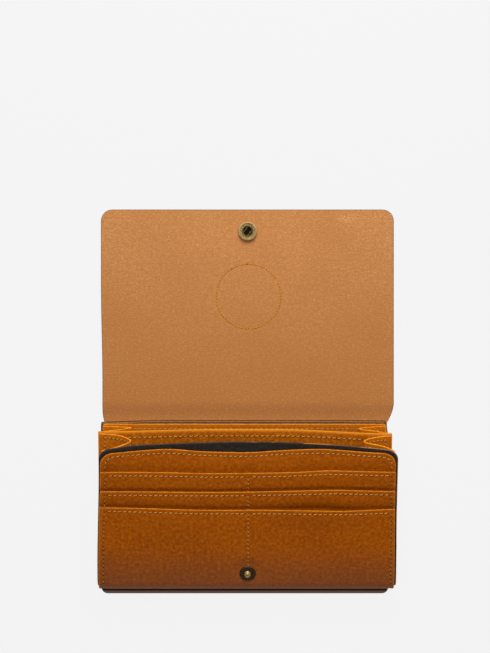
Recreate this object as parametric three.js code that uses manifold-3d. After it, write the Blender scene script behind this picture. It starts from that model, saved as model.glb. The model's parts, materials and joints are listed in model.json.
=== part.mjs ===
// Long leather wallet with a fold-over flap, lying open on its back. Millimetres, +Z up.
// The pouch lies on -Y and its mouth opens towards +Y. The flap lies flat on +Y, raw side up.
// The origin is at the centre of the bounding box's bottom face.
import * as THREE from 'three';
import { mergeVertices } from 'three/addons/utils/BufferGeometryUtils.js';
import Module from 'manifold-3d';

// ---------------------------------------------------------------- driving dimensions

// overall
const WALLET_WIDTH = 190; // pouch panels, side edge to side edge
const POUCH_LENGTH = 117.1; // flap fold to the lower edge of the back panel
const FLAP_LENGTH = 136.5; // flap fold to the flap's free edge, spine included
const FLAP_WIDTH = 192;
const WAIST_WIDTH = 187; // flap leather at the fold
const SHOULDER_LENGTH = 15; // how far the waist takes to reach the full flap width
const SPINE_LENGTH = 27; // strip between the two folds
const FOLD_GAP = 0.3; // between two leather panels that share a fold
const CORNER_RADIUS = 6; // free corners of the flap and of the back panel

// leather thicknesses
const SHELL_THICKNESS = 1.6;
const WRAP_THICKNESS = 1.2;
const LINING_THICKNESS = 0.9;
const STRIP_THICKNESS = 0.8;
const GUSSET_THICKNESS = 0.8;
const LAYER_GAP = 0.2; // between two layers of the back
const PANEL_GAP = 0.15; // between two layers of the front panel

// pouch geometry
const BEND_RADIUS = 8; // outer leather round the pouch's lower edge
const BEND_OVERHANG = 4.9; // back panel beyond the pouch's lower edge
const FRONT_TILT = 17.65; // degrees, the front panel above the back
const DIVIDER_TILT = 9;
const FRONT_SHORTFALL = 11.2; // the front panel is this much shorter than the back
const DIVIDER_SHORTFALL = 6.5;
const WRAP_FACE = 4; // inner face of the front panel above the bend centre
const PANEL_CORNER = 6; // top corners of the front panel's sheets
const DIVIDER_CORNER = 3;
const LINING_MARGIN = 2.8; // fold to the top edge of the back lining
const BACK_STEP = 0.75; // each back layer ends this much lower than the one below it
const LINING_START = 3; // bend centre to the lower edge of the back lining

// card strips
const STRIP_DROPS = [17.8, 29.8, 41.8]; // top edges below the card panel's, upper strip first
const STRIP_FEET = [12.2, 0.2]; // lower ends of the inner strips above the snap pad's ramp
const RAMP_LENGTH = 10; // how far the outer strip takes to come down to the snap's flat pad

// snap fastener
const STUD_HEIGHT = 5.8; // stud above the bend centre
const SNAP_DIAMETER = 12.5;
const SNAP_BORE = 5;
const SOCKET_HEIGHT = 3;
const SOCKET_FROM_FREE_EDGE = 14.6;
const STUD_FLANGE_DIAMETER = 10.8;
const STUD_FLANGE_HEIGHT = 0.75;
const STUD_HEAD_DIAMETER = 4;
const STUD_NECK_DIAMETER = 3.1;
const STUD_LENGTH = 3.4; // flange to the top of the head
const POST_DIAMETER = 3;
const POST_CLEARANCE = 0.2; // round a post in its leather
const RIVET_POST_DIAMETER = 1.5;
const RIVET_HEAD_DIAMETER = 8;
const RIVET_HEAD_HEIGHT = 0.6;
const SPRING_WIRE = 0.5;
const SPRING_SPREAD = 2.35; // spring wires from the snap's axis, sprung open
const METAL_GAP = 0.05;

// round patch
const PATCH_RADIUS = 24;
const PATCH_FROM_FREE_EDGE = 57.7;
const PATCH_SEAM_RADIUS = 21.3;
const STAND_OFF = 1.5; // flap leather stands on the patch and on the snap's cap

// gussets
const GUSSET_REACH = 20; // side edge to the inward fold
const GUSSET_FLANGE = 4; // stitched foot along each panel's side edge
const GUSSET_BOTTOM = 10; // lower end above the bend centre
const GUSSET_BELOW_LINING = 1.1; // top edge of a gusset below that of the panel it is sewn to
const GUSSET_BELOW_DIVIDER = 0.7;
const GUSSET_BELOW_FRONT = 3;
const GUSSET_STEPS = 12; // sections that a gusset's twist is spread over

// stitching
const THREAD_WIDTH = 0.5;
const THREAD_HEIGHT = 0.3;
const THREAD_GAP = 0.05;
const HEM_MARGIN = 2.4; // top edge to the hem stitching
const SIDE_MARGIN = 3.6; // side edge to the side seam
const SEAM_BOTTOM = 8; // lower end of the side seams above the bend centre

const CURVE_STEPS = 8; // facets of a quarter turn
const ROUND_STEPS = 48; // facets of a full turn

// ---------------------------------------------------------------- places worked out from them

const SPAN_Y = FLAP_LENGTH - POUCH_LENGTH;
const HALF_WIDTH = WALLET_WIDTH / 2;
const BACK_Z = {
  shell: 0,
  pocket: SHELL_THICKNESS + LAYER_GAP,
};
BACK_Z.wrap = BACK_Z.pocket + LINING_THICKNESS + LAYER_GAP;
BACK_Z.lining = BACK_Z.wrap + WRAP_THICKNESS + LAYER_GAP;
const LINING_TOP = BACK_Z.lining + LINING_THICKNESS;

// The outer leather comes round the bend and lies on the back panel.
const BEND_Z = BACK_Z.pocket + BEND_RADIUS;
const BEND_Y = -POUCH_LENGTH + BEND_OVERHANG + BEND_RADIUS;

// lengths up the panels, from the bend centre
const FRONT_LENGTH = -BEND_Y - FRONT_SHORTFALL;
const DIVIDER_LENGTH = -BEND_Y - DIVIDER_SHORTFALL;
const LINING_LENGTH = -BEND_Y - LINING_MARGIN;
const STRIP_EDGES = STRIP_DROPS.map((drop) => FRONT_LENGTH - drop);

const FLAP_FACE = STAND_OFF + SHELL_THICKNESS;
const PATCH_Y = FLAP_LENGTH - PATCH_FROM_FREE_EDGE;
const SOCKET_Y = FLAP_LENGTH - SOCKET_FROM_FREE_EDGE;

const WRAP_TOP = WRAP_FACE + WRAP_THICKNESS;
const BASE_FACE = WRAP_TOP + PANEL_GAP;
const BASE_TOP = BASE_FACE + LINING_THICKNESS;
const STRIP_FACES = [
  BASE_TOP + PANEL_GAP,
  BASE_TOP + 2 * PANEL_GAP + STRIP_THICKNESS,
  BASE_TOP + 3 * PANEL_GAP + 2 * STRIP_THICKNESS,
];
const OUTER_STRIP_TOP = STRIP_FACES[2] + LINING_THICKNESS;
const RAMP_BOTTOM = STUD_HEIGHT + STUD_FLANGE_DIAMETER / 2 + 0.8;
const RAMP_TOP = RAMP_BOTTOM + RAMP_LENGTH;
const PAD_TOP = BEND_RADIUS;
const PAD_FACE = PAD_TOP - LINING_THICKNESS;
const BETWEEN_GUSSETS = WALLET_WIDTH - 2 * (GUSSET_FLANGE + 2 * THREAD_WIDTH); // room for a hem
const ARC_END = (270 - FRONT_TILT - 1.5) * (Math.PI / 180);

// ---------------------------------------------------------------- materials

function finish(color, roughness, metalness = 0) {
  return new THREE.MeshStandardMaterial({ color, roughness, metalness });
}

const tanGrain = () => finish(0x91490b, 0.42);
const tanCore = () => finish(0xb5691c, 0.7);
const blackGrain = () => finish(0x2b211a, 0.5);
const rawSuede = () => finish(0xc08350, 0.9);
const thread = () => finish(0xc9a36a, 0.65);
const antiqueBrass = () => finish(0x6b5334, 0.38, 0.9);
const springSteel = () => finish(0x9c9a94, 0.3, 1);

// ---------------------------------------------------------------- shape helpers

const wasm = await Module();
wasm.setup();

function toSolid(geometry) {
  const bare = geometry.clone();
  bare.deleteAttribute('normal');
  bare.deleteAttribute('uv');
  const merged = mergeVertices(bare, 1e-4);
  return new wasm.Manifold(new wasm.Mesh({
    numProp: 3,
    vertProperties: new Float32Array(merged.attributes.position.array),
    triVerts: new Uint32Array(merged.index.array),
  }));
}

function toGeometry(solid) {
  const mesh = solid.getMesh();
  const geometry = new THREE.BufferGeometry();
  geometry.setAttribute('position', new THREE.BufferAttribute(mesh.vertProperties, 3));
  geometry.setIndex(new THREE.BufferAttribute(mesh.triVerts, 1));
  geometry.computeVertexNormals();
  return geometry;
}

function piece(name, geometry, material) {
  const mesh = new THREE.Mesh(geometry, material);
  mesh.name = name;
  return mesh;
}

// A flat sheet: an outline in X and Y, carried from z to z + thickness.
function sheet(shape, z, thickness) {
  const options = { depth: thickness, bevelEnabled: false, curveSegments: CURVE_STEPS };
  return new THREE.ExtrudeGeometry(shape, options).translate(0, 0, z);
}

// A bent sheet: a closed profile of [y, z] points, carried along X between two values.
function band(profile, fromX, toX) {
  const shape = new THREE.Shape(profile.map(([y, z]) => new THREE.Vector2(y, z)));
  const geometry = new THREE.ExtrudeGeometry(shape, { depth: toX - fromX, bevelEnabled: false });
  // the profile's first axis becomes Y, its second Z, and the depth X
  const turn = new THREE.Matrix4().makeBasis(
    new THREE.Vector3(0, 1, 0),
    new THREE.Vector3(0, 0, 1),
    new THREE.Vector3(1, 0, 0),
  );
  return geometry.applyMatrix4(turn).translate(fromX, 0, 0);
}

// A round piece: a closed profile of [radius, z] points turned about the Z axis.
function turned(profile) {
  const closed = [...profile, profile[0]];
  const points = closed.map(([radius, z]) => new THREE.Vector2(radius, z));
  return new THREE.LatheGeometry(points, ROUND_STEPS).rotateX(Math.PI / 2);
}

// Outline of a sheet whose two upper corners are round.
function roundTopOutline(halfWidth, bottom, top, radius) {
  const shape = new THREE.Shape();
  shape.moveTo(-halfWidth, bottom);
  shape.lineTo(halfWidth, bottom);
  shape.lineTo(halfWidth, top - radius);
  shape.absarc(halfWidth - radius, top - radius, radius, 0, Math.PI / 2);
  shape.lineTo(-halfWidth + radius, top);
  shape.absarc(-halfWidth + radius, top - radius, radius, Math.PI / 2, Math.PI);
  return shape;
}

// Points of an arc about the bend centre, with a radius that may change on the way.
function bendPoints(fromRadius, toRadius, fromAngle, toAngle, steps) {
  return Array.from({ length: steps + 1 }, (_, i) => {
    const share = i / steps;
    const radius = fromRadius + (toRadius - fromRadius) * share;
    const angle = fromAngle + (toAngle - fromAngle) * share;
    return [radius * Math.cos(angle), radius * Math.sin(angle)];
  });
}

// ---------------------------------------------------------------- shell

function shellBack() {
  const halfWidth = HALF_WIDTH;
  const shape = new THREE.Shape();
  shape.moveTo(-halfWidth, -FOLD_GAP);
  shape.lineTo(-halfWidth, -POUCH_LENGTH + CORNER_RADIUS);
  shape.absarc(-halfWidth + CORNER_RADIUS, -POUCH_LENGTH + CORNER_RADIUS, CORNER_RADIUS,
    Math.PI, 1.5 * Math.PI);
  shape.lineTo(halfWidth - CORNER_RADIUS, -POUCH_LENGTH);
  shape.absarc(halfWidth - CORNER_RADIUS, -POUCH_LENGTH + CORNER_RADIUS, CORNER_RADIUS,
    1.5 * Math.PI, 2 * Math.PI);
  shape.lineTo(halfWidth, -FOLD_GAP);
  return piece('shell_back', sheet(shape, BACK_Z.shell, SHELL_THICKNESS), rawSuede());
}

// The strip between the folds, waisted at the pouch and spreading in two round shoulders.
function shellSpine() {
  const waist = WAIST_WIDTH / 2;
  const full = FLAP_WIDTH / 2;
  const near = FOLD_GAP / 2;
  const far = SPINE_LENGTH - FOLD_GAP / 2;
  const shape = new THREE.Shape();
  shape.moveTo(-waist, near);
  shape.lineTo(waist, near);
  shape.quadraticCurveTo(full, SHOULDER_LENGTH * 0.35, full, SHOULDER_LENGTH);
  shape.lineTo(full, far);
  shape.lineTo(-full, far);
  shape.lineTo(-full, SHOULDER_LENGTH);
  shape.quadraticCurveTo(-full, SHOULDER_LENGTH * 0.35, -waist, near);
  return piece('shell_spine', sheet(shape, STAND_OFF, SHELL_THICKNESS), rawSuede());
}

function shellFlap() {
  const near = SPINE_LENGTH + FOLD_GAP / 2;
  const shape = roundTopOutline(FLAP_WIDTH / 2, near, FLAP_LENGTH, CORNER_RADIUS);
  const hole = new THREE.Path();
  hole.absarc(0, SOCKET_Y, POST_DIAMETER / 2 + POST_CLEARANCE, 0, 2 * Math.PI);
  shape.holes.push(hole);
  return piece('shell_flap', sheet(shape, STAND_OFF, SHELL_THICKNESS), rawSuede());
}

function roundPatch() {
  const disc = new THREE.CylinderGeometry(PATCH_RADIUS, PATCH_RADIUS, STAND_OFF, ROUND_STEPS);
  disc.rotateX(Math.PI / 2).translate(0, PATCH_Y, STAND_OFF / 2);
  return piece('round_patch', disc, tanGrain());
}

function patchThread() {
  const low = FLAP_FACE + THREAD_GAP;
  const high = low + THREAD_HEIGHT;
  const inner = PATCH_SEAM_RADIUS - THREAD_WIDTH / 2;
  const outer = PATCH_SEAM_RADIUS + THREAD_WIDTH / 2;
  const ring = turned([[inner, low], [outer, low], [outer, high], [inner, high]]);
  return piece('patch_thread', ring.translate(0, PATCH_Y, 0), thread());
}

// ---------------------------------------------------------------- snap socket on the flap

function snapCap() {
  const radius = SNAP_DIAMETER / 2;
  const post = POST_DIAMETER / 2;
  const profile = [
    [0, 0],
    [radius - 1, 0],
    [radius, 0.5],
    [radius, STAND_OFF],
    [post, STAND_OFF],
    [post, FLAP_FACE + 0.45],
    [0, FLAP_FACE + 0.45],
  ];
  return piece('snap_cap', turned(profile).translate(0, SOCKET_Y, 0), antiqueBrass());
}

// A hollow ring: the lip narrows to the bore and traps the spring below it.
function snapSocket() {
  const radius = SNAP_DIAMETER / 2;
  const low = FLAP_FACE + METAL_GAP;
  const high = low + SOCKET_HEIGHT;
  const bore = SNAP_BORE / 2;
  const cavity = radius - 1.15;
  const post = POST_DIAMETER / 2 + METAL_GAP * 3;
  const profile = [
    [post, low],
    [radius, low],
    [radius, low + 0.6],
    [radius - 0.3, high - 0.6],
    [radius - 0.8, high - 0.05],
    [bore + 0.5, high],
    [bore, high - 0.25],
    [bore, high - 0.5],
    [cavity - 0.2, high - 0.6],
    [cavity, low + 0.5],
    [post, low + 0.5],
  ];
  return piece('snap_socket', turned(profile).translate(0, SOCKET_Y, 0), antiqueBrass());
}

// A flat wire loop with two straight legs across the bore.
function socketSpring() {
  const cavity = SNAP_DIAMETER / 2 - 1.15;
  const outer = SPRING_SPREAD + SPRING_WIRE / 2;
  const inner = SPRING_SPREAD - SPRING_WIRE / 2;
  const leg = Math.sqrt((cavity - METAL_GAP * 4) ** 2 - outer ** 2) - outer;
  const loop = (radius) => {
    const path = new THREE.Path();
    path.absarc(leg, 0, radius, -Math.PI / 2, Math.PI / 2);
    path.absarc(-leg, 0, radius, Math.PI / 2, 1.5 * Math.PI);
    return path;
  };
  const shape = new THREE.Shape(loop(outer).getPoints(CURVE_STEPS));
  shape.holes.push(new THREE.Path(loop(inner).getPoints(CURVE_STEPS)));
  const top = FLAP_FACE + METAL_GAP + SOCKET_HEIGHT - 0.6 - METAL_GAP;
  const wire = sheet(shape, top - SPRING_WIRE, SPRING_WIRE).translate(0, SOCKET_Y, 0);
  return piece('socket_spring', wire, springSteel());
}

// ---------------------------------------------------------------- back of the pouch

function backLayer(name, layer, thickness, bottom, material) {
  const steps = { pocket: 1, wrap: 2 };
  const top = layer in steps ? -FOLD_GAP - steps[layer] * BACK_STEP : -LINING_MARGIN;
  const radius = layer === 'lining' ? DIVIDER_CORNER : CORNER_RADIUS / 2;
  const shape = roundTopOutline(HALF_WIDTH, bottom, top, radius);
  return piece(name, sheet(shape, BACK_Z[layer], thickness), material);
}

function liningHemThread() {
  const profile = hemProfile(-LINING_MARGIN - HEM_MARGIN, LINING_TOP + THREAD_GAP);
  const half = BETWEEN_GUSSETS / 2;
  return piece('lining_hem_thread', band(profile, -half, half), thread());
}

// ---------------------------------------------------------------- stitching profiles

// A hem seam runs along X: its section is a small rectangle.
function hemProfile(y, low) {
  const half = THREAD_WIDTH / 2;
  const high = low + THREAD_HEIGHT;
  return [[y - half, low], [y + half, low], [y + half, high], [y - half, high]];
}

// A seam down the stepped front panel. Each level is [from, to, face], lowest level first.
function steppedProfile(levels) {
  const under = levels.flatMap(([from, to, face]) => [
    [from, face + THREAD_GAP],
    [to, face + THREAD_GAP],
  ]);
  const over = levels.flatMap(([from, to, face], i) => {
    const last = i === levels.length - 1;
    const shift = THREAD_HEIGHT;
    const start = i === 0 ? from : from + shift;
    const end = last ? to : to + shift;
    return [
      [start, face + THREAD_GAP + THREAD_HEIGHT],
      [end, face + THREAD_GAP + THREAD_HEIGHT],
    ];
  });
  return [...under, ...over.reverse()];
}

// Faces that a seam crosses on its way from the outer strip up to the card panel's base.
function seamLevels(bottom, top) {
  const [upper, middle, lower] = STRIP_EDGES;
  const past = PANEL_GAP;
  const levels = [
    [RAMP_TOP, lower + past, OUTER_STRIP_TOP],
    [lower + past, middle + past, STRIP_FACES[1] + STRIP_THICKNESS],
    [middle + past, upper + past, STRIP_FACES[0] + STRIP_THICKNESS],
  ];
  if (top > upper) {
    levels.push([upper + past, top, BASE_TOP]);
  }
  const foot = bottom < RAMP_BOTTOM
    ? [[bottom, RAMP_BOTTOM, PAD_TOP]]
    : [[bottom, bottom, rampHeight(bottom)]];
  return [...foot, ...levels];
}

// Height of the outer strip's top face on its ramp.
function rampHeight(u) {
  const share = (u - RAMP_BOTTOM) / (RAMP_TOP - RAMP_BOTTOM);
  return PAD_TOP + (OUTER_STRIP_TOP - PAD_TOP) * share;
}

// ---------------------------------------------------------------- front panel
// Drawn in the panel's own frame: X across, Y up the panel from the bend centre, Z out of it.

// The black sheet behind the card pockets, bent round the pouch's lower edge.
function bodyWrapFront() {
  const steps = 2 * CURVE_STEPS;
  const quarter = Math.PI / 2;
  const endTop = BEND_Z - BACK_Z.wrap;
  const endFace = endTop - WRAP_THICKNESS;
  const profile = [
    [FRONT_LENGTH, WRAP_FACE],
    [FRONT_LENGTH, WRAP_TOP],
    ...bendPoints(WRAP_TOP, endTop, quarter, ARC_END, steps),
    ...bendPoints(WRAP_FACE, endFace, quarter, ARC_END, steps).reverse(),
  ];
  const bent = toSolid(band(profile, -HALF_WIDTH, HALF_WIDTH));
  const outline = roundTopOutline(HALF_WIDTH + 1, -2 * BEND_RADIUS, FRONT_LENGTH, PANEL_CORNER + 1);
  const trim = toSolid(sheet(outline, -2 * BEND_RADIUS, 4 * BEND_RADIUS));
  return piece('body_wrap_front', toGeometry(bent.intersect(trim)), blackGrain());
}

function cardBase() {
  const bottom = RAMP_TOP;
  const shape = roundTopOutline(HALF_WIDTH, bottom, FRONT_LENGTH, PANEL_CORNER);
  return piece('card_base', sheet(shape, BASE_FACE, LINING_THICKNESS), tanGrain());
}

function cardStrip(index) {
  const top = STRIP_EDGES[index];
  const bottom = RAMP_TOP + STRIP_FEET[index];
  const shape = roundTopOutline(HALF_WIDTH, bottom, top, 0.5);
  const geometry = sheet(shape, STRIP_FACES[index], STRIP_THICKNESS);
  return piece(`card_strip_${index + 1}`, geometry, tanGrain());
}

// The lowest strip is the pouch's whole outer front: it ramps down to a flat pad for the snap
// and goes round the bend.
function outerFront() {
  const steps = 2 * CURVE_STEPS;
  const quarter = Math.PI / 2;
  const top = STRIP_EDGES[2];
  const profile = [
    [top, STRIP_FACES[2]],
    [top, OUTER_STRIP_TOP],
    [RAMP_TOP, OUTER_STRIP_TOP],
    [RAMP_BOTTOM, PAD_TOP],
    ...bendPoints(PAD_TOP, BEND_RADIUS, quarter, ARC_END, steps),
    ...bendPoints(PAD_FACE, BEND_RADIUS - LINING_THICKNESS, quarter, ARC_END, steps).reverse(),
    [RAMP_BOTTOM, PAD_FACE],
    [RAMP_TOP, STRIP_FACES[2]],
  ];
  const radius = RIVET_POST_DIAMETER / 2 + POST_CLEARANCE;
  const drill = new THREE.CylinderGeometry(radius, radius, 4 * LINING_THICKNESS, ROUND_STEPS / 2);
  drill.rotateX(Math.PI / 2).translate(0, STUD_HEIGHT, PAD_TOP);
  const front = toSolid(band(profile, -HALF_WIDTH, HALF_WIDTH)).subtract(toSolid(drill));
  return piece('outer_front', toGeometry(front), tanGrain());
}

function snapStud() {
  const low = PAD_TOP + METAL_GAP;
  const flange = STUD_FLANGE_DIAMETER / 2;
  const neck = STUD_NECK_DIAMETER / 2;
  const head = STUD_HEAD_DIAMETER / 2;
  const top = low + STUD_LENGTH;
  const socket = RIVET_POST_DIAMETER / 2 + METAL_GAP * 2;
  const profile = [
    [socket, low],
    [flange - 0.3, low],
    [flange, low + 0.3],
    [flange - 0.6, low + 0.6],
    [neck + 0.9, low + STUD_FLANGE_HEIGHT],
    [neck, low + 1.2],
    [neck, top - 1.5],
    [head, top - 1.1],
    [head, top - 0.6],
    [head - 0.6, top],
    [0, top],
    [0, low + 1.3],
    [socket, low + 1.3],
  ];
  return piece('snap_stud', turned(profile).translate(0, STUD_HEIGHT, 0), antiqueBrass());
}

function studRivet() {
  const post = RIVET_POST_DIAMETER / 2;
  const head = RIVET_HEAD_DIAMETER / 2;
  const high = PAD_FACE - METAL_GAP;
  const low = high - RIVET_HEAD_HEIGHT;
  const profile = [
    [0, low],
    [head - 0.3, low],
    [head, low + 0.3],
    [head, high],
    [post, high],
    [post, PAD_TOP + 1],
    [0, PAD_TOP + 1],
  ];
  return piece('stud_rivet', turned(profile).translate(0, STUD_HEIGHT, 0), antiqueBrass());
}

// Stitching round the top of the card panel: up one side, across and down the other.
function baseHemThread() {
  const outer = HEM_MARGIN - THREAD_WIDTH / 2;
  const inner = HEM_MARGIN + THREAD_WIDTH / 2;
  const side = SIDE_MARGIN - HEM_MARGIN;
  const bottom = STRIP_EDGES[0] + 2;
  const radius = PANEL_CORNER - HEM_MARGIN / 2;
  const leg = (margin, from, to) => {
    const half = HALF_WIDTH - side - margin;
    const top = FRONT_LENGTH - margin;
    const round = radius - (margin - outer);
    const path = new THREE.Path();
    path.moveTo(half, from);
    path.absarc(half - round, top - round, round, 0, Math.PI / 2);
    path.absarc(-half + round, top - round, round, Math.PI / 2, Math.PI);
    path.lineTo(-half, to);
    return path.getPoints(CURVE_STEPS);
  };
  const shape = new THREE.Shape([
    ...leg(outer, bottom, bottom),
    ...leg(inner, bottom, bottom).reverse(),
  ]);
  return piece('base_hem_thread', sheet(shape, BASE_TOP + THREAD_GAP, THREAD_HEIGHT), thread());
}

// Hem stitching of one card strip, kept clear of the side seams and the centre seam.
function stripHemThread(index, side) {
  const face = index === 2 ? OUTER_STRIP_TOP : STRIP_FACES[index] + STRIP_THICKNESS;
  const y = STRIP_EDGES[index] - HEM_MARGIN;
  const inner = 2 * THREAD_WIDTH;
  const outer = HALF_WIDTH - SIDE_MARGIN - 2 * THREAD_WIDTH;
  const [from, to] = side < 0 ? [-outer, -inner] : [inner, outer];
  const label = side < 0 ? 'left' : 'right';
  const geometry = band(hemProfile(y, face + THREAD_GAP), from, to);
  return piece(`strip_${index + 1}_thread_${label}`, geometry, thread());
}

function verticalSeam(name, x, bottom, top) {
  const half = THREAD_WIDTH / 2;
  const profile = steppedProfile(seamLevels(bottom, top));
  return piece(name, band(profile, x - half, x + half), thread());
}

function frontPanel() {
  const panel = new THREE.Group();
  const seamX = HALF_WIDTH - SIDE_MARGIN;
  panel.add(bodyWrapFront(), cardBase(), cardStrip(0), cardStrip(1), outerFront());
  panel.add(snapStud(), studRivet(), baseHemThread());
  for (const index of [0, 1, 2]) {
    panel.add(stripHemThread(index, -1), stripHemThread(index, 1));
  }
  panel.add(verticalSeam('side_thread_left', -seamX, SEAM_BOTTOM, STRIP_EDGES[0]));
  panel.add(verticalSeam('side_thread_right', seamX, SEAM_BOTTOM, STRIP_EDGES[0]));
  panel.add(verticalSeam('centre_thread', 0, RAMP_BOTTOM, STRIP_EDGES[0]));
  return panel;
}

// ---------------------------------------------------------------- divider

function dividerLeaf(name, face) {
  const shape = roundTopOutline(HALF_WIDTH, 1, DIVIDER_LENGTH, DIVIDER_CORNER);
  return piece(name, sheet(shape, face, LINING_THICKNESS), tanGrain());
}

function divider() {
  const leaves = new THREE.Group();
  const hem = hemProfile(DIVIDER_LENGTH - HEM_MARGIN, PANEL_GAP + LINING_THICKNESS + THREAD_GAP);
  const half = BETWEEN_GUSSETS / 2;
  leaves.add(dividerLeaf('divider_rear_leaf', -PANEL_GAP - LINING_THICKNESS));
  leaves.add(dividerLeaf('divider_front_leaf', PANEL_GAP));
  leaves.add(piece('divider_hem_thread', band(hem, -half, half), thread()));
  return leaves;
}

// ---------------------------------------------------------------- gussets

// A point of a panel: distance up it from the bend centre, and height out of its own plane.
function panelPoint(tilt, distance, height) {
  const angle = tilt * (Math.PI / 180);
  const y = BEND_Y + distance * Math.cos(angle) - height * Math.sin(angle);
  const z = BEND_Z + distance * Math.sin(angle) + height * Math.cos(angle);
  return new THREE.Vector2(y, z);
}

// Section of a gusset between two panels that stand `height` apart: a foot on each panel and
// a fold that points inwards. Points are [x, share of the height].
function gussetSection(height) {
  const t = GUSSET_THICKNESS;
  const edge = HALF_WIDTH;
  const foot = edge - GUSSET_FLANGE;
  const tip = edge - GUSSET_REACH;
  const slope = Math.atan2(height / 2, foot - tip);
  const notch = tip + t / Math.sin(slope);
  const ease = t * Math.tan(slope / 2);
  return [
    [edge, 0],
    [edge, t / height],
    [foot + ease, t / height],
    [notch, 0.5],
    [foot + ease, 1 - t / height],
    [edge, 1 - t / height],
    [edge, 1],
    [foot, 1],
    [tip, 0.5],
    [foot, 0],
  ];
}

// A leaf lofted through sections from a low one to a high one. Each end is a pair of [y, z]
// points, one on the panel below and one on the panel above.
function gusset(name, side, low, high) {
  const sections = Array.from({ length: GUSSET_STEPS + 1 }, (_, step) => {
    const [under, over] = [0, 1].map((i) => low[i].clone().lerp(high[i], step / GUSSET_STEPS));
    return gussetSection(under.distanceTo(over)).map(([x, share]) => {
      const at = under.clone().lerp(over, share);
      return new THREE.Vector3(x * side, at.x, at.y);
    });
  });
  const count = sections[0].length;
  const last = count * GUSSET_STEPS;
  const height = low[0].distanceTo(low[1]);
  const flat = gussetSection(height).map(([x, share]) => new THREE.Vector2(x, share * height));
  const faces = [];
  for (const [a, b, c] of THREE.ShapeUtils.triangulateShape(flat, [])) {
    faces.push(a, b, c, last + a, last + c, last + b);
  }
  for (let step = 0; step < GUSSET_STEPS; step += 1) {
    for (let i = 0; i < count; i += 1) {
      const here = step * count + i;
      const next = step * count + ((i + 1) % count);
      const corners = [here, next, next + count, here + count];
      // the inner and the outer face are split along the same diagonal
      const [a, b, c, d] = i < count / 2 ? corners : [...corners.slice(1), corners[0]];
      faces.push(a, c, b, a, d, c);
    }
  }
  const geometry = new THREE.BufferGeometry().setFromPoints(sections.flat());
  geometry.setIndex(side > 0 ? faces : faces.reverse());
  geometry.computeVertexNormals();
  return piece(name, geometry, tanGrain());
}

function gussets() {
  const dividerFace = PANEL_GAP + LINING_THICKNESS + PANEL_GAP;
  const liningFace = LINING_TOP + PANEL_GAP - BEND_Z;
  const frontFace = WRAP_FACE - PANEL_GAP;
  const rear = (below, above) => [
    panelPoint(0, below, liningFace),
    panelPoint(DIVIDER_TILT, above, -dividerFace),
  ];
  const front = (below, above) => [
    panelPoint(DIVIDER_TILT, below, dividerFace),
    panelPoint(FRONT_TILT, above, frontFace),
  ];
  const onLining = LINING_LENGTH - GUSSET_BELOW_LINING;
  const onDivider = DIVIDER_LENGTH - GUSSET_BELOW_DIVIDER;
  const onFront = FRONT_LENGTH - GUSSET_BELOW_FRONT;
  return [[-1, 'left'], [1, 'right']].flatMap(([side, label]) => [
    gusset(`gusset_rear_${label}`, side,
      rear(GUSSET_BOTTOM, GUSSET_BOTTOM), rear(onLining, onDivider)),
    gusset(`gusset_front_${label}`, side,
      front(GUSSET_BOTTOM, GUSSET_BOTTOM), front(onDivider, onFront)),
  ]);
}

// ---------------------------------------------------------------- assembly

const wallet = new THREE.Group();
wallet.position.y = -SPAN_Y / 2;

wallet.add(shellBack(), shellSpine(), shellFlap());
wallet.add(roundPatch(), patchThread(), snapCap(), snapSocket(), socketSpring());
wallet.add(backLayer('pocket_wrap_back', 'pocket', LINING_THICKNESS, BEND_Y + METAL_GAP, tanGrain()));
wallet.add(backLayer('body_wrap_back', 'wrap', WRAP_THICKNESS, BEND_Y + METAL_GAP, blackGrain()));
wallet.add(backLayer('back_lining', 'lining', LINING_THICKNESS, BEND_Y + LINING_START, tanCore()));
wallet.add(liningHemThread());

const front = frontPanel();
front.position.set(0, BEND_Y, BEND_Z);
front.rotation.x = FRONT_TILT * (Math.PI / 180);

const middle = divider();
middle.position.set(0, BEND_Y, BEND_Z);
middle.rotation.x = DIVIDER_TILT * (Math.PI / 180);

wallet.add(front, middle, ...gussets());

export default wallet;
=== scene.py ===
"""A long leather wallet, lying open on its back: the flap folded away from the pouch, raw side up.

Shapes are worked out in millimetres and become metres in `make_piece`. Sheets of leather are grids
of points with a thickness and a round cut edge, and stitches are single loops of thread.
"""
from __future__ import annotations

import json
import logging
import math
from dataclasses import dataclass, field
from enum import Enum
from typing import Callable, Sequence

import bmesh
import bpy
import numpy as np
from numpy.typing import NDArray
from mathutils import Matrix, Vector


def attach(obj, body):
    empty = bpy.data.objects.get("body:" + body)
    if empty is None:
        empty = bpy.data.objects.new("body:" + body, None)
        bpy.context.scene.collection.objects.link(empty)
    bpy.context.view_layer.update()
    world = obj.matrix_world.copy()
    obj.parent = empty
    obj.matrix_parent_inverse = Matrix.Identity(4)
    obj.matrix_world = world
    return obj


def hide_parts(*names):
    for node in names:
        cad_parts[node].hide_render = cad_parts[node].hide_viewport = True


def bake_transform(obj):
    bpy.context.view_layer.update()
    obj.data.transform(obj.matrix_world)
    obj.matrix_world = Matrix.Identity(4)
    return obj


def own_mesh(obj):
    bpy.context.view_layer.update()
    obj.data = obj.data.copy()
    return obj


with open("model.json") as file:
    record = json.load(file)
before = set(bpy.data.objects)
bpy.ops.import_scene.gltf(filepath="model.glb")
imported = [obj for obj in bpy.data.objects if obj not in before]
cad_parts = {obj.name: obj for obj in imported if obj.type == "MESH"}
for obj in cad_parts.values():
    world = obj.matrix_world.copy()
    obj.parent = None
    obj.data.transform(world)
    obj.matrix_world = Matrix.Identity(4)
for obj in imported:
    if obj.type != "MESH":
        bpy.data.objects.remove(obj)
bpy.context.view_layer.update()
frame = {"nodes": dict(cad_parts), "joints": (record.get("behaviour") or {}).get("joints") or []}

Array = NDArray[np.float64]
Surface = Callable[[Array, Array], Array]
Section = Sequence[tuple[float, float]]
MM = 0.001
log = logging.getLogger("wallet")


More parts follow.
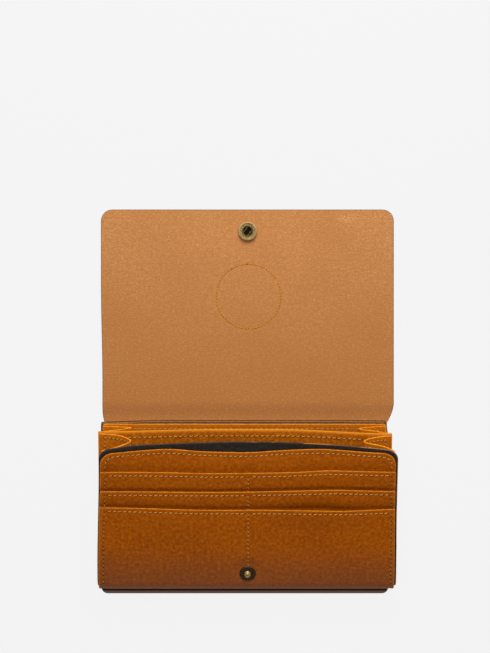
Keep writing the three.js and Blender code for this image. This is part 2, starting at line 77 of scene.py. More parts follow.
# ------------------------------------------------------------------ arithmetic on whole arrays


def smooth(share: Array) -> Array:
    """Ease from 0 to 1: 3t² - 2t³ with t clipped to 0..1."""
    t = np.clip(share, 0.0, 1.0)
    return t * t * (3 - 2 * t)


def hump(distance: Array, reach: float) -> Array:
    """Raised cosine, 1 at distance 0 and 0 from reach on."""
    t = np.clip(np.abs(distance) / reach, 0.0, 1.0)
    return 0.5 + 0.5 * np.cos(np.pi * t)


def groove(distance: Array, width: float) -> Array:
    """Bell curve exp(-(d/width)²), 1 in the middle."""
    return np.exp(-((distance / width) ** 2))


def stack(*parts: Array) -> Array:
    """Join coordinates of any matching shapes along a new last axis."""
    return np.stack(np.broadcast_arrays(*parts), axis=-1).astype(float)


def unit(vectors: Array) -> Array:
    """Scale vectors along the last axis to length 1."""
    length = np.linalg.norm(vectors, axis=-1, keepdims=True)
    return vectors / np.maximum(length, 1e-9)


def spline(points: Sequence[Sequence[float]], samples: int) -> Array:
    """Catmull-Rom curve through points: each span is the cubic whose end slopes are half the
    distance between the neighbours of its ends.

    Args:
        points: the points that the curve goes through.
        samples: how many points to return, evenly spread over the spans.
    Returns:
        The curve's points, one row each.
    """
    p = np.asarray(points, float)
    p = np.vstack([2 * p[0] - p[1], p, 2 * p[-1] - p[-2]])
    at = np.linspace(0, len(p) - 3 - 1e-9, samples)
    i = at.astype(int)
    t = (at - i)[:, None]
    a, b, c, d = p[i], p[i + 1], p[i + 2], p[i + 3]
    return 0.5 * (2 * b + (c - a) * t + (2 * a - 5 * b + 4 * c - d) * t**2 + (3 * b - a - 3 * c + d) * t**3)


def wave(points: Sequence[tuple[float, float]], level: float = 0.0) -> Callable[[Array], Array]:
    """Function of x that follows the spline through (x, height) points, less a level."""
    curve = spline(points, 400)
    return lambda x: np.interp(x, curve[:, 0], curve[:, 1]) - level


def spaced(path: Array, pitch: float) -> Array:
    """Points at even distances along a polyline.

    Args:
        path: the polyline's points, one row each.
        pitch: distance wanted between two points, adjusted to divide the length.
    Returns:
        The points, both ends included.
    """
    length = np.concatenate([[0.0], np.cumsum(np.linalg.norm(np.diff(path, axis=0), axis=1))])
    count = max(2, round(length[-1] / pitch) + 1)
    at = np.linspace(0, length[-1], count)
    return np.stack([np.interp(at, length, path[:, k]) for k in range(path.shape[1])], axis=1)


def quads(number: Array) -> Array:
    """Four-sided faces of a grid of vertex numbers, turning from columns to rows."""
    corners = (number[:-1, :-1], number[:-1, 1:], number[1:, 1:], number[1:, :-1])
    return np.stack(corners, axis=-1).reshape(-1, 4)


# ------------------------------------------------------------------ making meshes


def make_piece(
    name: str,
    points: Array,
    faces: Sequence[Sequence[int]],
    finishes: Sequence[Finish],
    indices: Array | None = None,
    lay: Array | None = None,
    values: dict[str, Array] | None = None,
) -> bpy.types.Object:
    """Turn arrays into a Blender object at the origin.

    Args:
        name: the object's name.
        points: vertices in millimetres, one row each.
        faces: vertex numbers of each face, counter-clockwise from outside.
        finishes: the finishes of the material slots, in order.
        indices: which slot each face uses; the first if left out.
        lay: flat pattern coordinates of each vertex, in millimetres.
        values: named numbers, one for each vertex.
    Returns:
        The new object.
    """
    mesh = bpy.data.meshes.new(name)
    mesh.from_pydata((points * MM).tolist(), [], [list(f) for f in faces])
    for finish in finishes:
        mesh.materials.append(finish.material())
    if indices is not None:
        mesh.polygons.foreach_set("material_index", np.asarray(indices, np.int32))
    mesh.polygons.foreach_set("use_smooth", np.ones(len(mesh.polygons), bool))
    if lay is not None:
        attribute = mesh.attributes.new("lay", "FLOAT_VECTOR", "POINT")
        attribute.data.foreach_set("vector", (lay * MM).astype(np.float32).ravel())
    for key, value in (values or {}).items():
        attribute = mesh.attributes.new(key, "FLOAT", "POINT")
        attribute.data.foreach_set("value", value.astype(np.float32).ravel())
    mesh.update()
    mesh.set_sharp_from_angle(angle=math.radians(52))
    piece = bpy.data.objects.new(name, mesh)
    bpy.context.scene.collection.objects.link(piece)
    return piece


@dataclass
class Sheet:
    """A sheet of leather: a grid of points on its middle surface, a thickness and a cut edge.

    The face lies half a thickness along the grid's normal and the back half a thickness
    against it. Round the outline the cut edge is a half ellipse that leans out by `rim`.
    """

    name: str
    middle: Array
    lay: Array
    margin: Array
    thickness: float
    finishes: Sequence[Finish]
    rim: float = 0.35
    butt_row: int | None = None
    end_finish: Finish | None = None
    end_rows: int = 25
    rim_steps: int = 6

    def build(self) -> bpy.types.Object:
        """Make the closed mesh: face, back and cut edge, each with its own finish."""
        rows, columns = self.middle.shape[:2]
        count = rows * columns
        across = np.gradient(self.middle, axis=1)
        along = np.gradient(self.middle, axis=0)
        normal = unit(np.cross(across, along))
        half = normal * self.thickness / 2
        number = np.arange(count).reshape(rows, columns)
        loop = np.concatenate([number[0], number[1:, -1], number[-1, -2::-1], number[-2:0:-1, 0]])
        edge = self.middle.reshape(-1, 3)[loop]
        edge_half = half.reshape(-1, 3)[loop]
        tangent = np.roll(edge, -1, 0) - np.roll(edge, 1, 0)
        outward = unit(np.cross(tangent, edge_half)) * self.rim
        if self.butt_row is not None:
            outward[np.isin(loop, number[self.butt_row])] = 0.0
        angle = np.linspace(-np.pi / 2, np.pi / 2, self.rim_steps + 1)[1:-1, None, None]
        rings = edge + edge_half * np.sin(angle) + outward * np.cos(angle)
        inner = 2 * count + np.arange(rings.shape[0] * len(loop)).reshape(rings.shape[0], -1)
        ring_numbers = np.vstack([loop + count, inner, loop])
        wrapped = np.hstack([ring_numbers, ring_numbers[:, :1]])
        parts = [quads(number), quads(number)[:, ::-1] + count, quads(wrapped)]
        points = np.concatenate([(self.middle + half).reshape(-1, 3), (self.middle - half).reshape(-1, 3),
                                 rings.reshape(-1, 3)])
        flat = self.lay.reshape(-1, 2)
        flat = np.concatenate([flat, flat, np.tile(flat[loop], (rings.shape[0], 1))])
        margin = self.margin.ravel()
        margin = np.concatenate([margin, margin, np.zeros(rings.shape[0] * len(loop))])
        rim_index = np.full((self.rim_steps, len(loop)), 2)
        finishes = list(self.finishes)
        if self.end_finish is not None:
            rim_index[:, : columns - 1 + self.end_rows] = 3
            rim_index[:, -self.end_rows :] = 3
            finishes.append(self.end_finish)
        return make_piece(
            self.name,
            points,
            np.concatenate(parts),
            finishes,
            indices=np.concatenate([np.repeat([0, 1], [len(parts[0]), len(parts[1])]), rim_index.ravel()]),
            lay=np.column_stack([flat, np.zeros(len(flat))]),
            values={"margin": margin},
        )


@dataclass
class Outline:
    """Outline of a sheet laid flat: two sides, a lower and an upper edge, and round corners."""

    left: float
    right: float
    low: float
    high: float
    low_radius: float = 0.6
    high_radius: float = 0.6
    crown: Callable[[Array], Array] = field(default=lambda x: 0 * x)
    crown_reach: float = 25.0
    sill: Callable[[Array], Array] = field(default=lambda x: 0 * x)
    side_left: Callable[[Array], Array] = field(default=lambda u: 0 * u)
    side_right: Callable[[Array], Array] = field(default=lambda u: 0 * u)
    step: float = 1.0
    corner_steps: int = 9

    def rows(self) -> tuple[Array, Array]:
        """Heights of the grid's rows, and how far the round corners draw each row in.

        On a corner, a row at angle a is at r(1 - sin a) from the edge and drawn in r(1 - cos a).
        """
        turn = np.linspace(0, np.pi / 2, self.corner_steps)
        low = self.low + self.low_radius * (1 - np.sin(turn[::-1]))
        high = self.high - self.high_radius * (1 - np.sin(turn))
        count = max(3, round((high[0] - low[-1]) / self.step))
        body = np.linspace(low[-1], high[0], count + 1)[1:-1]
        drawn = np.concatenate([
            self.low_radius * (1 - np.cos(turn[::-1])),
            0 * body,
            self.high_radius * (1 - np.cos(turn)),
        ])
        return np.concatenate([low, body, high]), drawn

    def edge(self, x: Array) -> Array:
        """Height of the upper edge at x, corners left out."""
        return self.high + self.crown(x)

    def lift(self, x: Array, v: Array) -> Array:
        """Move a straight row v to where the wavy upper and lower edges take it at x."""
        up = self.crown(x) * smooth((v - self.high + self.crown_reach) / self.crown_reach)
        down = self.sill(x) * smooth((self.low + self.crown_reach - v) / self.crown_reach)
        return v + up + down

    def grid(self) -> tuple[Array, Array, Array]:
        """The grid's flat coordinates x and u, and each point's distance from the cut edge."""
        v, drawn = self.rows()
        left = self.left + self.side_left(v) + drawn
        right = self.right + self.side_right(v) - drawn
        columns = max(8, round((self.right - self.left) / self.step))
        share = np.linspace(0, 1, columns + 1)
        x = left[:, None] + (right - left)[:, None] * share
        row = np.broadcast_to(v[:, None], x.shape)
        sides = np.minimum(x - left[:, None], right[:, None] - x)
        ends = np.minimum(row - self.low, self.high - row)
        return x, self.lift(x, row), np.maximum(np.minimum(sides, ends), 0.0)


# ------------------------------------------------------------------ places taken from the frame


@dataclass(frozen=True)
class Panel:
    """A flat panel's own frame: x across, u up the panel and n out of its face, in millimetres."""

    y: float
    z: float
    tilt: float = 0.0

    def place(self, x: Array, u: Array, n: Array) -> Array:
        """Turn (u, n) by the tilt about X and move it to the panel's pivot."""
        c, s = math.cos(math.radians(self.tilt)), math.sin(math.radians(self.tilt))
        return stack(x, self.y + u * c - n * s, self.z + u * s + n * c)

    def out(self) -> Array:
        """The panel's normal."""
        return np.array([0.0, -math.sin(math.radians(self.tilt)), math.cos(math.radians(self.tilt))])

    def measure(self, node: str) -> tuple[Array, Array]:
        """Lowest and highest (x, u, n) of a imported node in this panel's frame.

        Args:
            node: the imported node's name.
        Returns:
            Its lowest and its highest corner, in millimetres.
        """
        vertices = frame["nodes"][node].data.vertices
        flat = np.empty(len(vertices) * 3)
        vertices.foreach_get("co", flat)
        x, y, z = (flat.reshape(-1, 3) / MM).T
        c, s = math.cos(math.radians(self.tilt)), math.sin(math.radians(self.tilt))
        y, z = y - self.y, z - self.z
        points = stack(x, y * c + z * s, z * c - y * s)
        return points.min(0), points.max(0)


def pivot(joint: str) -> tuple[float, float]:
    """Y and Z of a joint's axis in millimetres."""
    found = next(j for j in frame["joints"] if j["name"] == joint)
    return found["pos_m"][1] / MM, found["pos_m"][2] / MM


@dataclass(frozen=True)
class Wrapped:
    """A sheet that lies on the back, goes round the pouch's lower edge and up the front.

    Past u = 0 a point is on the front panel. Below it comes an arc about the pivot, whose
    radius is n plus an even share of `gain`, and then the flat back, whose outside faces down.
    """

    front: Panel
    radius: float
    gain: float = 0.0

    @property
    def turn(self) -> float:
        """Angle of the arc, from straight below the pivot to the front panel's normal."""
        return math.radians(180.0 - self.front.tilt)

    @property
    def arc(self) -> float:
        """Length of the arc on the middle surface."""
        return (self.radius + self.gain / 2) * self.turn

    def place(self, x: Array, u: Array, n: Array) -> Array:
        """Put flat coordinates on the back, round the bend or on the front, as u says."""
        share = np.clip(-u / self.arc, 0.0, 1.0)
        angle = math.radians(90.0 + self.front.tilt) + share * self.turn
        radius = n + self.gain * share
        past = np.maximum(-u - self.arc, 0.0)
        bent = stack(x, self.front.y + radius * np.cos(angle) + past, self.front.z + radius * np.sin(angle))
        return np.where((u >= 0)[..., None], self.front.place(x, u, n), bent)

    def back_end(self, y: float) -> float:
        """The coordinate u, below 0, at which the sheet reaches y on the back."""
        return -(self.arc + y - self.front.y)


@dataclass(frozen=True)
class Layout:
    """The pivots and panels that every piece is placed by."""

    front_tilt: float = 17.65
    divider_tilt: float = 9.0
    drift: float = -1.9  # the back layers lie this much to the left of the front ones

    @property
    def fold(self) -> float:
        """Y of the fold between pouch and flap."""
        return pivot("flap_fold")[0]

    @property
    def table(self) -> Panel:
        """The flat back, with u counted from the fold and n from the table."""
        return Panel(self.fold, 0.0)

    @property
    def level(self) -> Panel:
        """The flat back again, from the pouch's pivot."""
        return Panel(*pivot("front_tilt"))

    @property
    def front(self) -> Panel:
        """The front panel."""
        return Panel(*pivot("front_tilt"), self.front_tilt)

    @property
    def divider(self) -> Panel:
        """The divider between the two main pockets."""
        return Panel(*pivot("divider_tilt"), self.divider_tilt)


# ------------------------------------------------------------------ finishes


def linear(code: str) -> tuple[float, float, float, float]:
    """Linear RGBA of an sRGB hex colour such as "#91490B"."""
    srgb = np.array([int(code[i : i + 2], 16) / 255 for i in (1, 3, 5)])
    value = np.where(srgb <= 0.04045, srgb / 12.92, ((srgb + 0.055) / 1.055) ** 2.4)
    return (*value.tolist(), 1.0)


def add(tree: bpy.types.NodeTree, kind: str, inputs: dict | None = None, **settings: object) -> bpy.types.Node:
    """Add a node with its settings and inputs.

    Args:
        tree: the node tree.
        kind: the node's type without its "ShaderNode" prefix.
        inputs: socket name or number to a value, or to a socket that is linked to it.
        settings: properties of the node itself.
    Returns:
        The new node.
    """
    made = tree.nodes.new("ShaderNode" + kind)
    for key, value in settings.items():
        setattr(made, key, value)
    for key, value in (inputs or {}).items():
        if isinstance(value, bpy.types.NodeSocket):
            tree.links.new(value, made.inputs[key])
        else:
            made.inputs[key].default_value = value
    return made


def tint(tree: bpy.types.NodeTree, share: bpy.types.NodeSocket, low: object, high: object) -> bpy.types.NodeSocket:
    """Mix two colours, each a hex code or a socket, by a share from 0 to 1."""
    ends = {6: low, 7: high}
    inputs = {k: linear(v) if isinstance(v, str) else v for k, v in ends.items()}
    return add(tree, "Mix", {0: share, **inputs}, data_type="RGBA").outputs[2]


def spread(tree: bpy.types.NodeTree, value: bpy.types.NodeSocket, low: float, high: float,
           to_low: float = 0.0, to_high: float = 1.0) -> bpy.types.NodeSocket:
    """Stretch low..high of a value to another range, clipped and eased at both ends."""
    inputs = {0: value, 1: low, 2: high, 3: to_low, 4: to_high}
    return add(tree, "MapRange", inputs, interpolation_type="SMOOTHSTEP").outputs[0]


@dataclass(frozen=True)
class Finish:
    """A finish: its name, the record's material slot and how to build its shader."""

    name: str
    slot: str

    def material(self) -> bpy.types.Material:
        """The finish's material, made on its first use."""
        made = bpy.data.materials.get(self.name)
        if made is None:
            made = bpy.data.materials.new(self.name)
            made.use_nodes = True
            made.node_tree.nodes.clear()
            shader = self.shader(made.node_tree)
            add(made.node_tree, "OutputMaterial", {0: shader.outputs[0]})
        return made

    def shader(self, tree: bpy.types.NodeTree) -> bpy.types.Node:
        """Build the nodes and return the last shader."""
        raise NotImplementedError


@dataclass(frozen=True)
class GrainLeather(Finish):
    """Vegetable-tanned cowhide, grain side out, dyed through and waxed.

    The dye sinks in unevenly, so the colour drifts over tens of millimetres and in specks of one
    or two; wax fills the fine pebbled grain, which leaves a low, soft gloss.
    """

    colour: str = "#9A4B00"
    deep: str = "#823C00"
    pale: str = "#AC5A02"
    roughness: float = 0.5
    gloss: float = 0.08
    pebble: float = 1.0  # mm, about twice the real grain so that it shows
    drift: float = 42.0  # mm, patches of the dye
    speck: float = 2.2  # mm, clusters of open and closed pores
    relief: float = 0.09  # mm
    worn: float = 0.35
    bend: str = ""  # painted shade and sheen: darker, greyer tone towards the pouch's lower bend

    def shader(self, tree: bpy.types.NodeTree) -> bpy.types.Node:
        """Dye patches, specks and pebbled grain on the sheet's flat coordinates."""
        flat = add(tree, "Attribute", attribute_name="lay").outputs["Vector"]
        margin = add(tree, "Attribute", attribute_name="margin").outputs["Fac"]
        patches = add(tree, "TexNoise", {"Vector": flat, "Scale": 1 / (self.drift * MM), "Detail": 3.0, "Roughness": 0.6})
        specks = add(tree, "TexNoise", {"Vector": flat, "Scale": 1 / (self.speck * MM), "Detail": 4.0, "Roughness": 0.65})
        pebbles = add(tree, "TexVoronoi", {"Vector": flat, "Scale": 1 / (self.pebble * MM)}, feature="SMOOTH_F1")
        pores = add(tree, "TexNoise", {"Vector": flat, "Scale": 1 / (0.35 * MM), "Detail": 2.0})
        colour = tint(tree, spread(tree, patches.outputs[0], 0.35, 0.7, 0.0, 0.4), self.colour, self.deep)
        lighter = tint(tree, 0.5, self.colour, self.pale) if self.worn > 0.9 else self.pale
        colour = tint(tree, spread(tree, specks.outputs[0], 0.48, 0.68, 0.0, 0.9), colour, lighter)
        colour = tint(tree, spread(tree, specks.outputs[0], 0.32, 0.5, 0.9, 0.0), colour, self.deep)
        colour = tint(tree, spread(tree, margin, 0.2, 2.2, self.worn, 0.0), colour, self.pale)
        # painted shade and sheen: darker and greyer towards the pouch's lower bend, by object Y
        if self.bend:
            y = add(tree, "SeparateXYZ", {0: add(tree, "TexCoord").outputs["Object"]}).outputs[1]
            colour = tint(tree, spread(tree, y, -0.12, -0.088, 0.42, 0.0), colour, self.bend)
        height = add(tree, "Math", {0: pebbles.outputs[0], 1: -0.7}, operation="MULTIPLY").outputs[0]
        height = add(tree, "Math", {0: pores.outputs[0], 1: height}, operation="ADD").outputs[0]
        bump = add(tree, "Bump", {"Height": height, "Distance": self.relief * MM, "Strength": 0.8})
        sheen = spread(tree, specks.outputs[0], 0.3, 0.7, self.roughness - 0.06, self.roughness + 0.1)
        return add(tree, "BsdfPrincipled", {
            "Base Color": colour,
            "Roughness": sheen,
            "Specular IOR Level": self.gloss,
            "Normal": bump.outputs[0],
        })


@dataclass(frozen=True)
class Suede(Finish):
    """The raw flesh side of the same hide, buffed but not dyed.

    Cut fibres lie mostly across the hide, which gives a matt, slightly furry surface with soft
    streaks. Its colour is painted darker towards the fold as painted shade, for the lamp's falloff down the flap.
    """

    colour: str = "#B8804E"
    deep: str = "#AA7241"
    # darker tone for the nap fibres, and the painted shade towards the fold
    nap_and_fold_shade: str = "#9F632D"
    bright: str = "#CC9560"
    # darker, greyer tone of the raw side along the back panel's lower edge
    low_edge_tone: str = "#8A7060"
    # painted contact shadow under the pouch's bend
    contact_shadow: str = "#40291A"
    scuff: tuple[float, float] = (0.066, 0.1205)  # m, centre of a pale scuff
    nap: float = 1.6  # mm, coarser than real fibres so that it shows
    streak: float = 4.5  # mm
    relief: float = 0.2  # mm
    unshaded_y: float = 0.13  # m, Y from which the painted fold shade has gone
    darkest_shade_y: float = -0.01  # m, Y where the painted fold shade is darkest
    low_edge_y: float = -0.109  # m, Y below which the raw side is coloured darker and greyer

    def shader(self, tree: bpy.types.NodeTree) -> bpy.types.Node:
        """Streaks and nap on the flat coordinates, painted shade darker towards the fold, a darker lower edge and a
        painted contact shadow along it.
        """
        flat = add(tree, "Attribute", attribute_name="lay").outputs["Vector"]
        stretched = add(tree, "Mapping", {"Vector": flat, "Scale": (1.0, 1.9, 1.0)}).outputs[0]
        place = add(tree, "SeparateXYZ", {0: add(tree, "TexCoord").outputs["Object"]})
        streaks = add(tree, "TexNoise", {"Vector": stretched, "Scale": 1 / (self.streak * MM), "Detail": 5.0,
                                         "Roughness": 0.62})
        clouds = add(tree, "TexNoise", {"Vector": flat, "Scale": 1 / (38 * MM), "Detail": 3.0})
        nap = add(tree, "TexNoise", {"Vector": stretched, "Scale": 1 / (self.nap * MM), "Detail": 4.0,
                                     "Roughness": 0.7})
        tone = tint(tree, spread(tree, streaks.outputs[0], 0.36, 0.66, 0.0, 0.85), self.colour, self.deep)
        tone = tint(tree, spread(tree, clouds.outputs[0], 0.35, 0.75, 0.0, 0.85), tone, self.deep)
        # painted shade: darker towards the fold, for the lamp's falloff down the flap
        nap_and_fold_shade = spread(tree, place.outputs[1], self.darkest_shade_y, self.unshaded_y, 0.72, 0.0)
        tone = tint(tree, nap_and_fold_shade, tone, self.nap_and_fold_shade)
        tone = tint(tree, spread(tree, nap.outputs[0], 0.36, 0.62, 0.75, 0.0), tone, self.nap_and_fold_shade)
        # the raw side is darker and greyer below its lower-edge height
        low_edge_share = spread(tree, place.outputs[1], self.low_edge_y - 0.002, self.low_edge_y, 1.0, 0.0)
        tone = tint(tree, spread(tree, nap.outputs[0], 0.52, 0.7, 0.0, 0.35), tone, self.bright)
        rubbed = add(tree, "VectorMath", {0: add(tree, "TexCoord").outputs["Object"], 1: (*self.scuff, 0.0)},
                     operation="SUBTRACT").outputs[0]
        rubbed = add(tree, "Mapping", {"Vector": rubbed, "Rotation": (0.0, 0.0, 0.5), "Scale": (1.0, 2.6, 0.0)})
        away = add(tree, "VectorMath", {0: rubbed.outputs[0]}, operation="LENGTH").outputs["Value"]
        fibres = spread(tree, nap.outputs[0], 0.4, 0.6)
        share = add(tree, "Math", {0: spread(tree, away, 0.001, 0.011, 0.55, 0.0), 1: fibres},
                    operation="MULTIPLY").outputs[0]
        tone = tint(tree, share, tone, self.bright)
        tone = tint(tree, low_edge_share, tone, self.low_edge_tone)
        # painted contact shadow: a dark line at the top of the darker lower edge, just below the pouch's bend
        contact_shadow_share = add(tree, "Math", {0: spread(tree, place.outputs[1], -0.1249, -0.1243), 1: low_edge_share},
                    operation="MULTIPLY").outputs[0]
        tone = tint(tree, contact_shadow_share, tone, self.contact_shadow)
        height = add(tree, "Math", {0: nap.outputs[0], 1: streaks.outputs[0]}, operation="ADD").outputs[0]
        bump = add(tree, "Bump", {"Height": height, "Distance": self.relief * MM, "Strength": 0.9})
        return add(tree, "BsdfPrincipled", {
            "Base Color": tone,
            "Roughness": 0.92,
            "Specular IOR Level": 0.12,
            "Sheen Weight": 0.12,
            "Sheen Roughness": 0.6,
            "Normal": bump.outputs[0],
        })


@dataclass(frozen=True)
class CutEdge(Finish):
    """The cut edge of a sheet, rubbed smooth or painted.

    A knife opens the fibres and rubbing with wax closes them again, so the edge is a little
    glossier and lighter than the face, with fine streaks along it.
    """

    colour: str = "#C87414"
    deep: str = "#AC5C08"
    core: str = ""  # colour under worn edge paint, on the right half
    roughness: float = 0.5
    gloss: float = 0.08

    def shader(self, tree: bpy.types.NodeTree) -> bpy.types.Node:
        """Fibre flecks a millimetre long along the edge, and the worn core."""
        place = add(tree, "TexCoord").outputs["Object"]
        flecks = add(tree, "TexNoise", {"Vector": place, "Scale": 1 / (1.6 * MM), "Detail": 4.0})
        colour = tint(tree, spread(tree, flecks.outputs[0], 0.35, 0.65), self.colour, self.deep)
        if self.core:
            x = add(tree, "SeparateXYZ", {0: place}).outputs[0]
            worn = add(tree, "TexNoise", {"Vector": place, "Scale": 1 / (24 * MM), "Detail": 3.0}).outputs[0]
            share = add(tree, "Math", {0: spread(tree, x, -0.005, 0.012), 1: spread(tree, worn, 0.42, 0.52)},
                        operation="MULTIPLY").outputs[0]
            colour = tint(tree, share, colour, self.core)
        bump = add(tree, "Bump", {"Height": flecks.outputs[0], "Distance": 0.05 * MM, "Strength": 0.6})
        return add(tree, "BsdfPrincipled", {
            "Base Color": colour,
            "Roughness": self.roughness,
            "Specular IOR Level": self.gloss,
            "Normal": bump.outputs[0],
        })


@dataclass(frozen=True)
class WaxedThread(Finish):
    """Waxed linen sewing thread, several plies twisted together.

    Wax makes it slightly glossy, the plies show as fine slanting lines, and each stitch is
    painted darker where it goes down into its hole, as painted shade.
    """

    colour: str = "#BE8738"
    shade: str = "#74400F"
    ply: float = 0.32  # mm, width of a ply along the thread

    def shader(self, tree: bpy.types.NodeTree) -> bpy.types.Node:
        """Slanting plies on the object's coordinates, and painted shade at the ends from the stitch's own run."""
        place = add(tree, "TexCoord").outputs["Object"]
        run = add(tree, "Attribute", attribute_name="run").outputs["Fac"]
        plies = add(tree, "TexWave", {"Vector": place, "Scale": 1 / (self.ply * MM) / 6.3, "Distortion": 0.8},
                    bands_direction="DIAGONAL")
        fuzz = add(tree, "TexNoise", {"Vector": place, "Scale": 1 / (2.5 * MM), "Detail": 2.0})
        colour = tint(tree, spread(tree, plies.outputs[1], 0.0, 1.0, 0.25, 0.0), self.colour, self.shade)
        colour = tint(tree, spread(tree, fuzz.outputs[0], 0.4, 0.7, 0.0, 0.35), colour, self.shade)
        # painted shade towards both ends of each stitch, where it sinks into its hole
        colour = tint(tree, spread(tree, run, 0.55, 1.0), colour, self.shade)
        bump = add(tree, "Bump", {"Height": plies.outputs[1], "Distance": 0.08 * MM, "Strength": 0.7})
        return add(tree, "BsdfPrincipled", {
            "Base Color": colour,
            "Roughness": 0.6,
            "Specular IOR Level": 0.2,
            "Normal": bump.outputs[0],
        })


@dataclass(frozen=True)
class AntiqueBrass(Finish):
    """Pressed brass, darkened with a sulphide bath and then rubbed back.

    The dark patina stays in hollows and pits, and rubbed rims show the warm metal.
    """

    bright: str = "#9A7C4A"
    patina: str = "#4A3A1C"
    pits: float = 0.8  # mm
    rubbed: float = 0.84  # share of the surface that is rubbed bright
    roughness: float = 0.64
    metallic: float = 0.2  # a dull lacquer covers the metal
    shine: float = 0.25  # how strongly that lacquer reflects

    def shader(self, tree: bpy.types.NodeTree) -> bpy.types.Node:
        """Speckled patina over brass, more of it in hollows."""
        place = add(tree, "TexCoord").outputs["Object"]
        wear = add(tree, "Attribute", attribute_name="wear").outputs["Fac"]
        specks = add(tree, "TexNoise", {"Vector": place, "Scale": 1 / (self.pits * MM), "Detail": 5.0,
                                        "Roughness": 0.7})
        bare = add(tree, "Math", {0: specks.outputs[0], 1: wear}, operation="ADD").outputs[0]
        share = spread(tree, bare, 1.28 - self.rubbed, 1.62 - self.rubbed)
        bump = add(tree, "Bump", {"Height": specks.outputs[0], "Distance": 0.06 * MM, "Strength": 0.8})
        return add(tree, "BsdfPrincipled", {
            "Base Color": tint(tree, share, self.patina, self.bright),
            "Metallic": self.metallic,
            "Specular IOR Level": self.shine,
            "Roughness": spread(tree, share, 0.0, 1.0, self.roughness + 0.15, self.roughness),
            "Normal": bump.outputs[0],
        })


@dataclass(frozen=True)
class Shade(Finish):
    """Painted shade for the dark mouth of a hole (an awl hole, the socket's well), with a trace of torn fibre."""

    colour: str = "#43200A"
    deep: str = "#2A1206"

    def shader(self, tree: bpy.types.NodeTree) -> bpy.types.Node:
        """Rough and dark, with a trace of fibre."""
        place = add(tree, "TexCoord").outputs["Object"]
        fibre = add(tree, "TexNoise", {"Vector": place, "Scale": 1 / (0.4 * MM)})
        return add(tree, "BsdfPrincipled", {
            "Base Color": tint(tree, fibre.outputs[0], self.colour, self.deep),
            "Roughness": 0.9,
            "Specular IOR Level": 0.1,
        })


@dataclass(frozen=True)
class PaleBoard(Finish):
    """A pale seamless board that is lit from behind as well, so that it stays even."""

    colour: str = "#F4F4F4"
    glow: float = 0.96  # share of the board's light that comes from behind

    def shader(self, tree: bpy.types.NodeTree) -> bpy.types.Node:
        """Emission for the even part, and a paper face for the soft shadows."""
        place = add(tree, "TexCoord").outputs["Object"]
        tooth = add(tree, "TexNoise", {"Vector": place, "Scale": 1 / (3 * MM)})
        bump = add(tree, "Bump", {"Height": tooth.outputs[0], "Distance": 0.02 * MM})
        paper = [self.board_share * value for value in linear(self.colour)[:3]]
        return add(tree, "BsdfPrincipled", {
            "Base Color": (*paper, 1.0),
            "Roughness": 0.95,
            "Specular IOR Level": 0.0,
            "Emission Color": linear(self.colour),
            "Emission Strength": self.glow,
            "Normal": bump.outputs[0],
        })

    @property
    def board_share(self) -> float:
        """How much of the lamps' light the paper face gives back."""
        return 0.03


TAN = GrainLeather("waxed_tan_leather", "panel_leather", bend="#5E4030")
LINING = GrainLeather("waxed_lining_leather", "lining_leather", colour="#A35600", deep="#8E4600", pale="#B26204",
                      gloss=0.06)
# The divider's folded upper edge is painted fully pale: wear on the fold, and a painted highlight there too.
DIVIDER = GrainLeather("waxed_divider_leather", "lining_leather", colour="#9A4E00", deep="#843F00", pale="#C87812",
                       worn=1.0, gloss=0.06)
BLACK = GrainLeather(
    "black_grain_leather", "black_leather", colour="#201A15", deep="#17120E", pale="#2C221A", roughness=0.45,
    gloss=0.3, worn=0.6, relief=0.05,
)
SHELL_OUTSIDE = GrainLeather(
    "black_shell_leather", "shell_leather", colour="#2A211B", deep="#1F1814", pale="#3A2C20", roughness=0.48,
    gloss=0.35, pebble=1.3, relief=0.09,
)
SUEDE = Suede("raw_suede", "shell_leather")
TAN_EDGE = CutEdge("rubbed_tan_edge", "panel_leather")
LINING_EDGE = CutEdge("rubbed_lining_edge", "lining_leather", colour="#E08A22", deep="#C87414")
BLACK_EDGE = CutEdge("painted_black_edge", "black_leather", colour="#44372C", deep="#2E251E", core="#8A5C36",
                     roughness=0.4)
# near-black colour on the back ends of the wrap and the outer leather, next to the fold
ROOT_EDGE = CutEdge("near_black_root_edge", "black_leather", colour="#160E09", deep="#0E0906")
# Y limits far off the wallet switch off the painted fold shade and the darker lower edge here.
FLESH = Suede("pocket_flesh_side", "panel_leather", colour="#A5703C", deep="#96622F", nap_and_fold_shade="#8E5A28",
              unshaded_y=-0.9, darkest_shade_y=-1.0, low_edge_y=-1.0)
SHELL_EDGE = CutEdge("painted_shell_edge", "shell_leather", colour="#3C2E24", deep="#2A2019", roughness=0.45)
THREAD = WaxedThread("waxed_linen_thread", "linen_thread")
PATCH_THREAD = WaxedThread("fine_golden_thread", "linen_thread", colour="#BE7A0E", shade="#9C5E0C")
WORN_THREAD = WaxedThread("worn_side_thread", "linen_thread", colour="#A8722E", shade="#5C300C")
BRASS = AntiqueBrass("rubbed_antique_brass", "antique_brass", bright="#B2925E", patina="#5A4726", rubbed=0.92)
DARK_BRASS = AntiqueBrass("dark_antique_brass", "antique_brass", bright="#A0865A", patina="#34261A", rubbed=0.6)
# The stud's bright dome is painted highlight for the lamps' reflections, over patina.
STUD_BRASS = AntiqueBrass("rubbed_stud_brass", "antique_brass", bright="#B8935A", patina="#3A281A", rubbed=0.76,
                          roughness=0.3, metallic=0.5)
SPRING = AntiqueBrass("blackened_spring_wire", "spring_wire", bright="#8C7040", patina="#4A3A1C", rubbed=0.9, roughness=0.7,
                      metallic=0.0, shine=0.12)
# dark dimples at the stitch holes: painted shade
HOLE = Shade("awl_hole", "linen_thread")
# a near-black disc in the socket: painted shade for the depth of its hole
WELL = Shade("socket_well", "antique_brass", colour="#14100C", deep="#0A0806")


# ------------------------------------------------------------------ stitches


